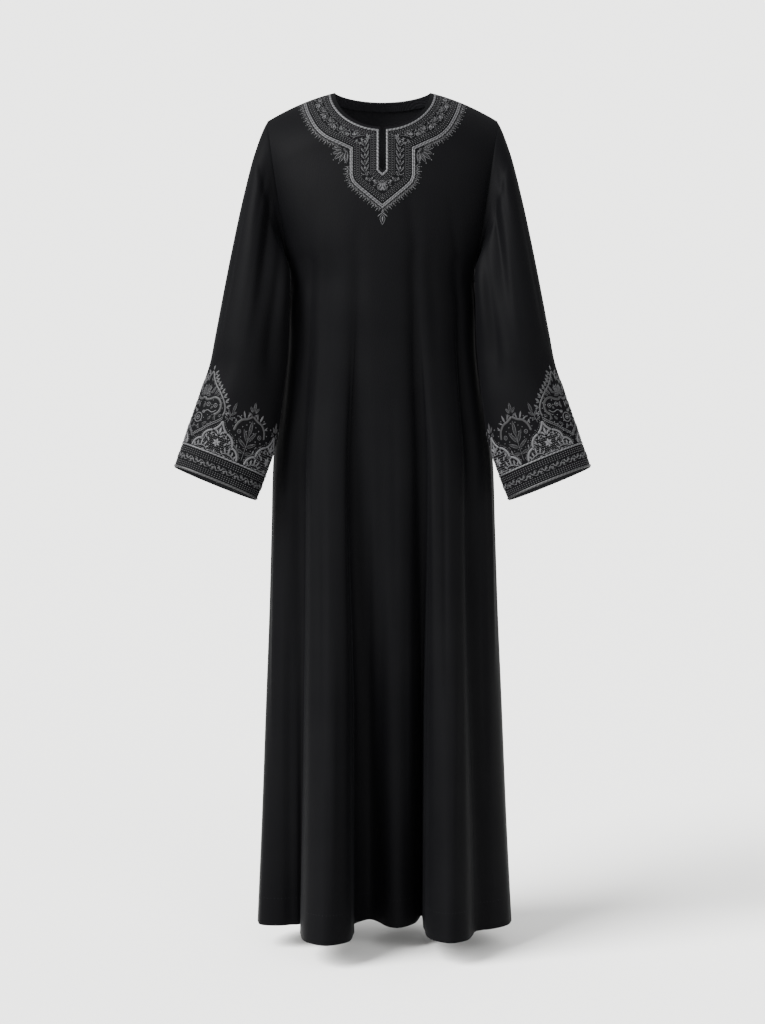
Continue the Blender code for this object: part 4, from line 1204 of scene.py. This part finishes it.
PICK_PITCH = 0.0062
PICK = 0.0019
PICK_WIDTH = 0.0007
PICK_LIFT = 0.00005
PICK_BOW = 0.0002        # how far a prick bows up in the middle
STRAND = 0.0006          # width of the thread's strands

# Mercerised cotton: it has a little more shine than the crepe, so the pricks catch the light.
sewing_thread, shader = new_material("black_sewing_thread")
where = add_node(sewing_thread, "ShaderNodeTexCoord").outputs["Object"]
strands = add_node(sewing_thread, "ShaderNodeTexNoise",
                   {"Vector": where, "Scale": 1 / STRAND, "Detail": 1.0})
tones = add_node(sewing_thread, "ShaderNodeMix", {
    "Factor": strands.outputs["Fac"], 6: linear("#101011"), 7: linear("#1c1c1e")},
    data_type="RGBA")
fill(shader, {"Base Color": tones.outputs[2], "Roughness": 0.5, "Specular IOR Level": 0.10})


def hem_place(grid, normals):
    """The outer face of a panel, charted by distance along its hem and up from the turn-up."""
    up_from_hem = np.cumsum(np.linalg.norm(np.diff(grid[::-1], axis=0), axis=2), axis=0)
    row = len(grid) - 2 - int(np.argmax(up_from_hem[:, grid.shape[1] // 2] > TURN_UP))
    line = grid[row] + normals[row] * (WALL / 2)
    run = run_of(line)

    def place(along, up):
        found = [np.stack([np.interp(along, run, part[:, axis]) for axis in range(3)], 1)
                 for part in (line, normals[row])]
        found[0][:, 2] += up
        return found
    return place, run[-1]


chunks = [new_chunk()]
for grid, normals in ((front_grid, front_normals), (back_grid, back_normals)):
    place, reach = hem_place(grid, normals)
    for at in np.arange(PICK_PITCH, reach - PICK_PITCH, PICK_PITCH):
        prick = [(at - PICK / 2, 0.0), (at, PICK_BOW), (at + PICK / 2, 0.0)]
        lay(Sewn(chunks, place, PICK_LIFT), prick, PICK_WIDTH, PICK_WIDTH / 2,
            swell=(0.0, 1.0, 0.0))
hem_stitches = worked("hem_pick_stitches", chunks, sewing_thread)
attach(hem_stitches, "root")


# ---------------------------------------------------------------- cuff embroidery
# Each cuff carries a band of running stitch and a vine between two couched cords, and above it a
# row of scalloped arches filled with flowers, a tall medallion on the outer side and pointed
# frames with palmettes between the arches.

CUFF_CORD_AT = 0.0032
CUFF_TOP_CORD_AT = 0.0428
CUFF_TOP_CORD_WIDTH = 0.0030
BAND_TOP = 0.0400
BAND_LOW = 0.0060
BAND_MIDDLE = 0.0229
BAND_ROWS = 9
STITCH_ROWS = (0.0078, 0.0111, 0.0144, 0.0314, 0.0347, 0.0380)
CUFF_VINE_WAVE = 0.0200
CUFF_VINE_SWING = 0.0040
ARCHES = 4
ARCH_PHASE = -0.017      # middle of the outer arch, round from the sleeve's outer line
SCALLOP_CORD = (0.0038, 0.0014)              # width and height
SCALLOP_BEYOND = (-2.6, 3.0)                 # from the arch's cord to the stitches outside it
SCALLOP_DASH = (0.0034, 0.0022, 0.0011)      # pitch, length and width
SEED_PITCH = 0.0031
SEED_ROWS = (0.0034, 0.0440)
SEED_HALF = 0.042        # the widest row, to one side
SEED_CLEAR = (0.0022, 0.0026)    # how far the seeds keep inside the arch, across and up
MEDALLION_DASH = (0.0030, 0.0016, 0.0011)
DENTATE_PITCH = 0.0083
DENTATE_SPAN = (0.006, 0.004)    # bare at the border's start and end
DENTATE_OUT = 0.0022

cuff_points = sleeve_grid + sleeve_normals * (WALL / 2)
cuff_run = run_of(cuff_points[-1])
CUFF_ROUND = float(cuff_run[-1])
ARCH_PITCH = CUFF_ROUND / ARCHES


def cuff_place(side):
    """The outer face of a sleeve, charted by distance round it and up from its edge."""
    def place(around, up):
        column_at = np.interp(np.mod(around, CUFF_ROUND), cuff_run, np.arange(len(cuff_run)))
        row_at = len(cuff_points) - 1 - np.asarray(up) / CUFF_BAND * RING_STEPS
        r = np.clip(row_at.astype(int), 0, len(cuff_points) - 2)
        c = np.clip(column_at.astype(int), 0, len(cuff_run) - 2)
        dr = (row_at - r)[:, None]
        dc = (column_at - c)[:, None]
        found = []
        for grid in (cuff_points, sleeve_normals):
            above = grid[r, c] * (1 - dc) + grid[r, c + 1] * dc
            below = grid[r + 1, c] * (1 - dc) + grid[r + 1, c + 1] * dc
            found.append((above * (1 - dr) + below * dr) * np.array([side, 1.0, 1.0]))
        return found[0], found[1] / np.linalg.norm(found[1], axis=1)[:, None]
    return place


def ring_at(up, step=0.0014):
    """A path once round the cuff."""
    around = np.linspace(0, CUFF_ROUND, round(CUFF_ROUND / step) + 1)
    return np.stack((around, np.full_like(around, up)), 1)


def vine_band(sewn):
    """The band between the cords: rows of running stitch, and a vine with curls and leaves."""
    for up in STITCH_ROWS:
        dashes(sewn, ring_at(up, 0.004), STITCH_PITCH, STITCH, STITCH_WIDTH, 0.42)
    waves = round(CUFF_ROUND / CUFF_VINE_WAVE)
    wave = CUFF_ROUND / waves
    vine = ring_at(BAND_MIDDLE)
    vine[:, 1] += CUFF_VINE_SWING * np.sin(2 * math.pi * vine[:, 0] / wave)
    lay(sewn, vine, THREAD * 1.3, THREAD_HEIGHT, tone=0.36, closed=True)
    for k in range(2 * waves):
        up = -1.0 if k % 2 else 1.0
        root = np.array([(k + 0.5) * wave / 2, BAND_MIDDLE - up * 0.0018])
        stem(sewn, root, up * UP, spiral(1.2, 3.9, 205.0), up, tone=0.36)
        knot(sewn, root, 2.0, 0.55)
        for x, y, aim, long, wide in ((-5.6, -0.5, 62, 6.0, 2.4), (4.6, 2.6, -150, 6.0, 2.4),
                                      (1.0, -3.6, 100, 4.6, 2.0), (6.4, -2.8, 30, 4.4, 1.8)):
            leaf(sewn, root + np.array([x, y * up]) * MM, up * math.radians(aim), long * MM,
                 wide * MM, 0.42, 0.2)


# Motifs, charted in millimetres from their foot on the top cord.  Most are the half at -X,
# which is worked twice.
SCALLOP = (((-41, 2), (-39, 10), (-34, 16), (-27, 19)),    # an arch, from foot to apex
           ((-27, 19), (-25, 27), (-19, 33), (-12, 36)),
           ((-12, 36), (-7, 40), (-2.6, 46), (0, 53)))
ARCH_STEM = ((-38, 2), (-32, 5), (-24, 8), (-17, 7), (-13, 3.4))
ARCH_LEAVES = (
    (-35, 3.4, -18, 6.5, 2.8), (-30, 5.8, -10, 8.5, 3.2), (-24.5, 8.2, 2, 10, 3.4),
    (-19, 8.0, 22, 9, 3.2), (-15.5, 5.5, 52, 7, 2.8), (-28, 6.0, 60, 6, 2.4),
    (-13, 3.0, 84, 6, 2.4), (-22, 2.4, 90, 6, 2.2), (-15, 27, 38, 7, 2.8),
    (-13, 17, -30, 7.5, 3.0), (-17, 21, -62, 6, 2.4), (-6, 34, -24, 6, 2.4),
    (-20, 22, -8, 6.5, 2.6))
ARCH_KNOTS = (
    (-37, 7.5, 2.2), (-27, 16.5, 2.2), (-24, 19, 1.4), (-18, 29, 2.0), (-7.5, 38, 1.8),
    (-10, 12, 2.0), (-18, 3, 1.8), (-31, 11, 1.8), (-22, 24, 2.2), (-13, 32.5, 2.0),
    (-6, 4, 2.2), (-26, 2.6, 1.6), (-4, 29, 1.8), (-3.4, 43.5, 1.6), (-21, 13, 1.6))
VALLEY_KNOTS = ((-44, 9), (-42.5, 17), (-38, 24), (-45, 24), (-32, 29), (-40, 32))
FLOWER = tuple((0, 1.6, angle, 7.4, 3.6) for angle in range(0, 360, 60))
ARCH_SPRIG = ((0, 2, 0, 11, 3.6), *paired(1.2, 1, 36, 8, 2.8), *paired(1.2, -2, 64, 6.4, 2.4))
POINT_KNOTS = ((7, 53), (-7, 53), (12, 60), (-12, 60))
FRAME = ((0, 71), (-8, 66), (-18, 62), (-24, 55), (-27, 44))
FRAME_LEAVES = ((-13, 65, -22, 12, 3.4), (-17, 63, -62, 9, 2.6), (-24, 56, -40, 8, 2.4),
                (-9, 67, 20, 9, 2.6))
FRAME_KNOTS = (
    (-30, 50), (-28, 58), (-5, 73), (-4, 78), (-20, 68), (-10, 33), (-33, 42), (-8, 57),
    (-14, 53), (-4, 62), (-13, 38), (-22, 38), (-25, 33), (-17, 31), (-6, 48))
FRAME_STEM = ((-4, 8), (-12, 18), (-20, 24), (-27, 27))
FRAME_STEM_LEAVES = ((-9, 14, -80, 7, 2.6), (-14, 20, -10, 7, 2.6), (-19, 23.5, -76, 7, 2.6),
                     (-25, 26.5, -20, 7, 2.6))
TWIG = ((0, 42, 0, 23, 5.6), *paired(0, 33, 32, 21, 5.0), *paired(0, 26, 60, 19, 4.8),
        *paired(0, 17, 76, 14, 4.4))       # pairs of leaves up a straight stem
MEDALLION_LOW = ((0, 16), (-8, 24), (-16, 30), (-24, 38), (-32, 44), (-40, 50), (-46, 56))
MEDALLION_SIDE = ((-44, 60), (-46, 67), (-45, 74), (-41, 82), (-35, 90), (-27, 98), (-17, 106),
                  (-9, 114), (-4, 122), (0, 130))
SCROLL = ((-28, 58), (-34, 63), (-37, 70), (-36, 78), (-30, 85), (-21, 87), (-12, 83), (-5, 82),
          (0, 86))
INNER_SCROLL = ((-8, 58), (-14, 64), (-24, 62), (-31, 67))
MEDALLION_RINGS = ((-13, 74, 3.4), (-27, 74, 3.2), (-8, 60, 2.2))
MEDALLION_LEAVES = (
    (-36, 57, -50, 8, 3.2), (-20, 66, -20, 6, 2.8), (-23, 90, -52, 11, 3.8),
    (-18, 91, -34, 14, 4.2), (-12, 92, -18, 15, 4.2), (-10, 107, -18, 10, 3.6),
    (-30, 87, -74, 9, 3.2), (-25, 96, -20, 7, 3), (-4, 88, -4, 20, 4.6), (-4, 112, -6, 12, 3.6),
    (-20, 48, -30, 9, 3.6), (-12, 38, -48, 10, 3.6), (-30, 50, -8, 8, 3.2),
    (-5, 66, -8, 10, 3.4), (-6, 30, 10, 9, 3.2))
MEDALLION_KNOTS = (
    (-20, 74), (-34, 76), (-5, 76), (-20, 82), (-40, 58), (-27, 46), (-16, 37), (-26, 58),
    (-14, 99), (-4, 104), (-12, 50), (-2, 34), (-38, 66), (-41, 72), (-38, 80), (-32, 62),
    (-18, 56), (-22, 42), (-9, 44), (-33, 52), (-8, 118), (-6, 124), (-16, 104), (-22, 101))
PALMETTE = tuple((0, 0, angle, long, 4.0) for angle, long in
                 ((-96, 12), (-66, 14), (-34, 16), (0, 19), (34, 16), (66, 14), (96, 12)))
PLANT_STEM = ((7, 52), (9, 60), (12, 70))
PLANT_LEAVES = ((8, 56, -58, 8, 2.8), (8.5, 58, 62, 9, 2.8), (10, 62, -30, 13, 3.4),
                (10, 64, 50, 12, 3.2), (12, 68, 12, 18, 4.6))
PLANT_KNOTS = ((17, 62), (20, 56), (2, 60), (22, 66), (1, 68), (14, 58))


def arch(sewn, foot, topped):
    """A scalloped arch and what fills it, with or without a sprig on its point."""
    for flip in (1.0, -1.0):
        for lobe in SCALLOP:
            lay(sewn, turned_to(curve(np.asarray(lobe) * MM, STEM_STEP), foot, UP, flip),
                *SCALLOP_CORD, section=ROUND_CORD, ply=CORD_PLY, tone=0.62)
            beyond = curve((np.asarray(lobe) + SCALLOP_BEYOND) * MM, 0.0014)
            dashes(sewn, turned_to(beyond, foot, UP, flip), *SCALLOP_DASH, 0.30)
        # a half palmette curls in from the foot
        stem(sewn, foot, UP, ARCH_STEM, flip, 0.0013, 0.75)
        sprig(sewn, foot, UP, ARCH_LEAVES, flip, tone=0.66)
        stem(sewn, spot_at(-10, 29, foot, UP, flip), UP, spiral(1.1, 3.8, 20.0), flip, tone=0.8)
        ring(sewn, spot_at(-24, 19, foot, UP, flip), 0.0022, THREAD, 0.8)
        knots(sewn, foot, UP, ARCH_KNOTS, 0.85, flip=flip)
        knots(sewn, foot, UP, VALLEY_KNOTS, 0.36, 2.0, flip)
    # seeding: small stitches that fill the ground of the arch
    outline = np.concatenate([curve(np.asarray(lobe) * MM, 0.001) for lobe in SCALLOP])
    for row, y in enumerate(np.arange(*SEED_ROWS, SEED_PITCH)):
        reach = np.interp(y + SEED_CLEAR[1], outline[:, 1], -outline[:, 0]) - SEED_CLEAR[0]
        shift = SEED_PITCH / 2 * (row % 2)
        for x in np.arange(-SEED_HALF + shift, SEED_HALF, SEED_PITCH):
            if abs(x) < reach:
                knot(sewn, foot + np.array([x, y]), 1.7, 0.40)
    sprig(sewn, spot_at(0, 17, foot, UP), UP, FLOWER, tone=0.98)
    knot(sewn, spot_at(0, 17, foot, UP), 3.4, 0.5)
    sprig(sewn, spot_at(0, 30, foot, UP), UP, ARCH_SPRIG, scale=1.05, tone=0.90)
    sprig(sewn, spot_at(0, 1, foot, UP), UP, ARCH_SPRIG, scale=0.62, tone=0.85)
    if topped:
        sprig(sewn, spot_at(0, 56, foot, UP), UP, ARCH_SPRIG, scale=1.2, tone=0.45,
              drawn=open_leaf)
        knots(sewn, foot, UP, POINT_KNOTS, 0.40, 2.4)


def pointed_frame(sewn, foot):
    """A pointed frame over a valley, with a leafy twig in it and a palmette on its point."""
    for flip in (1.0, -1.0):
        eye = spot_at(-18, 45, foot, UP, flip)
        stem(sewn, foot, UP, FRAME, flip, 0.0036, 0.14)
        ring(sewn, eye, 0.0028, 0.0011, 0.40)
        knot(sewn, eye, 1.8, 0.60)
        sprig(sewn, foot, UP, FRAME_LEAVES, flip, tone=0.42)
        knots(sewn, foot, UP, FRAME_KNOTS, 0.36, 2.2, flip)
        stem(sewn, foot, UP, FRAME_STEM, flip, tone=0.40)
        sprig(sewn, foot, UP, FRAME_STEM_LEAVES, flip, tone=0.40)
    stem(sewn, foot, UP, ((0, 6), (0, 24), (0, 46)), tone=0.45)
    sprig(sewn, foot, UP, TWIG, tone=0.46, drawn=open_leaf)
    sprig(sewn, spot_at(0, 74, foot, UP), UP, ARCH_SPRIG, scale=1.35, tone=0.46,
          drawn=open_leaf)


def medallion_half(sewn, foot, flip):
    """Half of the tall medallion, and the plant beside it."""
    for shift in (0.0, 3.6):
        stem(sewn, foot, UP, np.asarray(MEDALLION_LOW) + (0.0, shift), flip, 0.0012, 0.5)
    dots = curve((np.asarray(MEDALLION_LOW) + (0.0, 1.8)) * MM, 0.002)
    dashes(sewn, turned_to(dots, foot, UP, flip), *MEDALLION_DASH, 0.45)
    stem(sewn, foot, UP, MEDALLION_SIDE, flip, 0.0030, 0.28)
    stem(sewn, foot, UP, SCROLL, flip, 0.0042, 0.12)
    stem(sewn, foot, UP, INNER_SCROLL, flip, 0.0016, 0.46)
    for x, y, radius in MEDALLION_RINGS:
        ring(sewn, spot_at(x, y, foot, UP, flip), radius * MM, 0.0012, 0.52)
        knot(sewn, spot_at(x, y, foot, UP, flip), 2.2, 0.70)
    sprig(sewn, foot, UP, MEDALLION_LEAVES, flip, tone=0.50, drawn=open_leaf)
    knots(sewn, foot, UP, MEDALLION_KNOTS, 0.52, 2.0, flip)
    # dentate leaves outside the outline
    border = curve(np.asarray(MEDALLION_SIDE) * MM, 0.001)
    run = run_of(border)
    for at in np.arange(DENTATE_SPAN[0], run[-1] - DENTATE_SPAN[1], DENTATE_PITCH):
        spot, ahead = spot_on(border, run, at)
        out = math.atan2(ahead[0], -ahead[1])
        spot += DENTATE_OUT * np.array([math.cos(out), math.sin(out)])
        for turn_by, long, wide in ((0.35, 9.0, 3.8), (-0.50, 6.4, 2.8)):
            leaf(sewn, turned_to(spot, foot, UP, flip)[0], UP + (out - UP - turn_by) * flip,
                 long * MM, wide * MM, 0.34)
    apex = foot + np.array([flip * ARCH_PITCH / 2, 0.0])
    stem(sewn, apex, UP, PLANT_STEM, flip, tone=0.45)
    sprig(sewn, apex, UP, PLANT_LEAVES, flip, tone=0.45, drawn=open_leaf)
    knots(sewn, apex, UP, PLANT_KNOTS, 0.42, 2.4, flip)


for name, side in (("left", 1.0), ("right", -1.0)):
    place = cuff_place(side)
    # the edge cord is set to a darker tone than the top cord
    for spot, up, width, height, tone in (
            ("edge", CUFF_CORD_AT, CORD_WIDTH, CORD_HEIGHT, 0.34),
            ("top", CUFF_TOP_CORD_AT, CUFF_TOP_CORD_WIDTH, CORD_HEIGHT * 0.8, 1.0)):
        sewn = Sewn([new_chunk()], place, LAID_ON)
        lay(sewn, ring_at(up), width, height, section=ROUND_CORD, tone=tone, ply=CORD_PLY,
            closed=True)
        cord = worked(f"cuff_{spot}_cord_{name}_couched", sewn.chunks, silver_cord)
        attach(cord, "root")
        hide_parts(f"cuff_{spot}_cord_{name}")

    around = ring_at(0.0)[:, 0]
    inside, outside = [], []
    for up in np.linspace(BAND_TOP, BAND_LOW, BAND_ROWS):
        points, normals = place(around, np.full_like(around, up))
        inside.append(points + normals * LAID_ON)
        outside.append(points + normals * GROUND)
    inside, outside = np.array(inside), np.array(outside)
    inside[:, -1], outside[:, -1] = inside[:, 0], outside[:, 0]
    ground = shell(f"cuff_ground_{name}_band", inside, outside, crepe, closed=True)
    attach(ground, "root")
    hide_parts(f"cuff_plate_{name}")

    sewn = Sewn([new_chunk()], place, GROUND)
    vine_band(sewn)
    sewn = sewn._replace(lift=0.0)
    for k in range(ARCHES):
        arch(sewn, np.array([ARCH_PHASE + k * ARCH_PITCH, CUFF_TOP_CORD_AT]), k > 1)
    # the medallion stands on the outer side, above the first valley, and frames above the rest
    for k in range(1, ARCHES):
        pointed_frame(sewn, np.array([ARCH_PHASE + (k + 0.5) * ARCH_PITCH, CUFF_TOP_CORD_AT]))
    foot = np.array([ARCH_PHASE + ARCH_PITCH / 2, CUFF_TOP_CORD_AT])
    for flip in (1.0, -1.0):
        medallion_half(sewn, foot, flip)
    eye = spot_at(0, 49, foot, UP)
    ring(sewn, eye, 0.0080, 0.0020, 0.34, steps=16)
    ring(sewn, eye, 0.0036, 0.0012, 0.50)
    knot(sewn, eye, 3.0, 0.80)
    sprig(sewn, spot_at(0, 90, foot, UP), UP, PALMETTE, tone=0.48, drawn=open_leaf)
    leaf(sewn, spot_at(0, 131, foot, UP), UP, 0.0080, 0.0034, 0.40)
    embroidery = worked(f"cuff_embroidery_{name}_thread", sewn.chunks, rayon)
    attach(embroidery, "root")


# ---------------------------------------------------------------- studio
# A wide pale floor under a pale surround.  One broad soft light falls from the upper left in
# front, and a weaker one from a little to the right of straight ahead.

FLOOR_Z = -1.470
FLOOR_SIZE = 45.0
paper, shader = new_material("pale_studio_floor")
fill(shader, {"Base Color": linear("#f0f0ee"), "Roughness": 0.9, "Specular IOR Level": 0.0})
work = bmesh.new()
bmesh.ops.create_grid(work, x_segments=1, y_segments=1, size=FLOOR_SIZE)
bmesh.ops.translate(work, verts=work.verts[:], vec=(0.0, 0.0, FLOOR_Z))
floor = finished("studio_floor", work, paper)

SURROUND_LIGHT = 1.15    # what the pale surround gives as light
SURROUND_SEEN = 3.70     # and how bright it is to look at
world = bpy.data.worlds.new("studio")
world.use_nodes = True
shown = add_node(world, "ShaderNodeBackground",
                 {"Color": linear("#f6f6f4"), "Strength": SURROUND_SEEN})
given = world.node_tree.nodes["Background"]
fill(given, {"Color": linear("#f6f6f6"), "Strength": SURROUND_LIGHT})
looked_at = add_node(world, "ShaderNodeLightPath").outputs["Is Camera Ray"]
both = add_node(world, "ShaderNodeMixShader", {
    0: looked_at, 1: given.outputs["Background"], 2: shown.outputs["Background"]})
fill(world.node_tree.nodes["World Output"], {"Surface": both.outputs["Shader"]})
bpy.context.scene.world = world

# direction in degrees: to the left of straight ahead, and up
Lamp = namedtuple("Lamp", "name left up spread strength")
for lamp in (Lamp("key", 52.0, 38.0, 36.0, 13.2), Lamp("fill", -18.0, 24.0, 44.0, 1.8)):
    light = bpy.data.lights.new(lamp.name, "SUN")
    light.angle = math.radians(lamp.spread)
    light.energy = lamp.strength
    thing = bpy.data.objects.new(lamp.name, light)
    thing.rotation_euler = (math.radians(90.0 - lamp.up), 0.0, -math.radians(lamp.left))
    bpy.context.scene.collection.objects.link(thing)

EYE_LENS = 63.1
EYE_AT = (0.0, -3.1, -0.722)
camera = bpy.data.objects.new("camera", bpy.data.cameras.new("camera"))
camera.data.lens = EYE_LENS
camera.location = EYE_AT
camera.rotation_euler = (math.pi / 2, 0.0, 0.0)
bpy.context.scene.collection.objects.link(camera)
bpy.context.scene.camera = camera
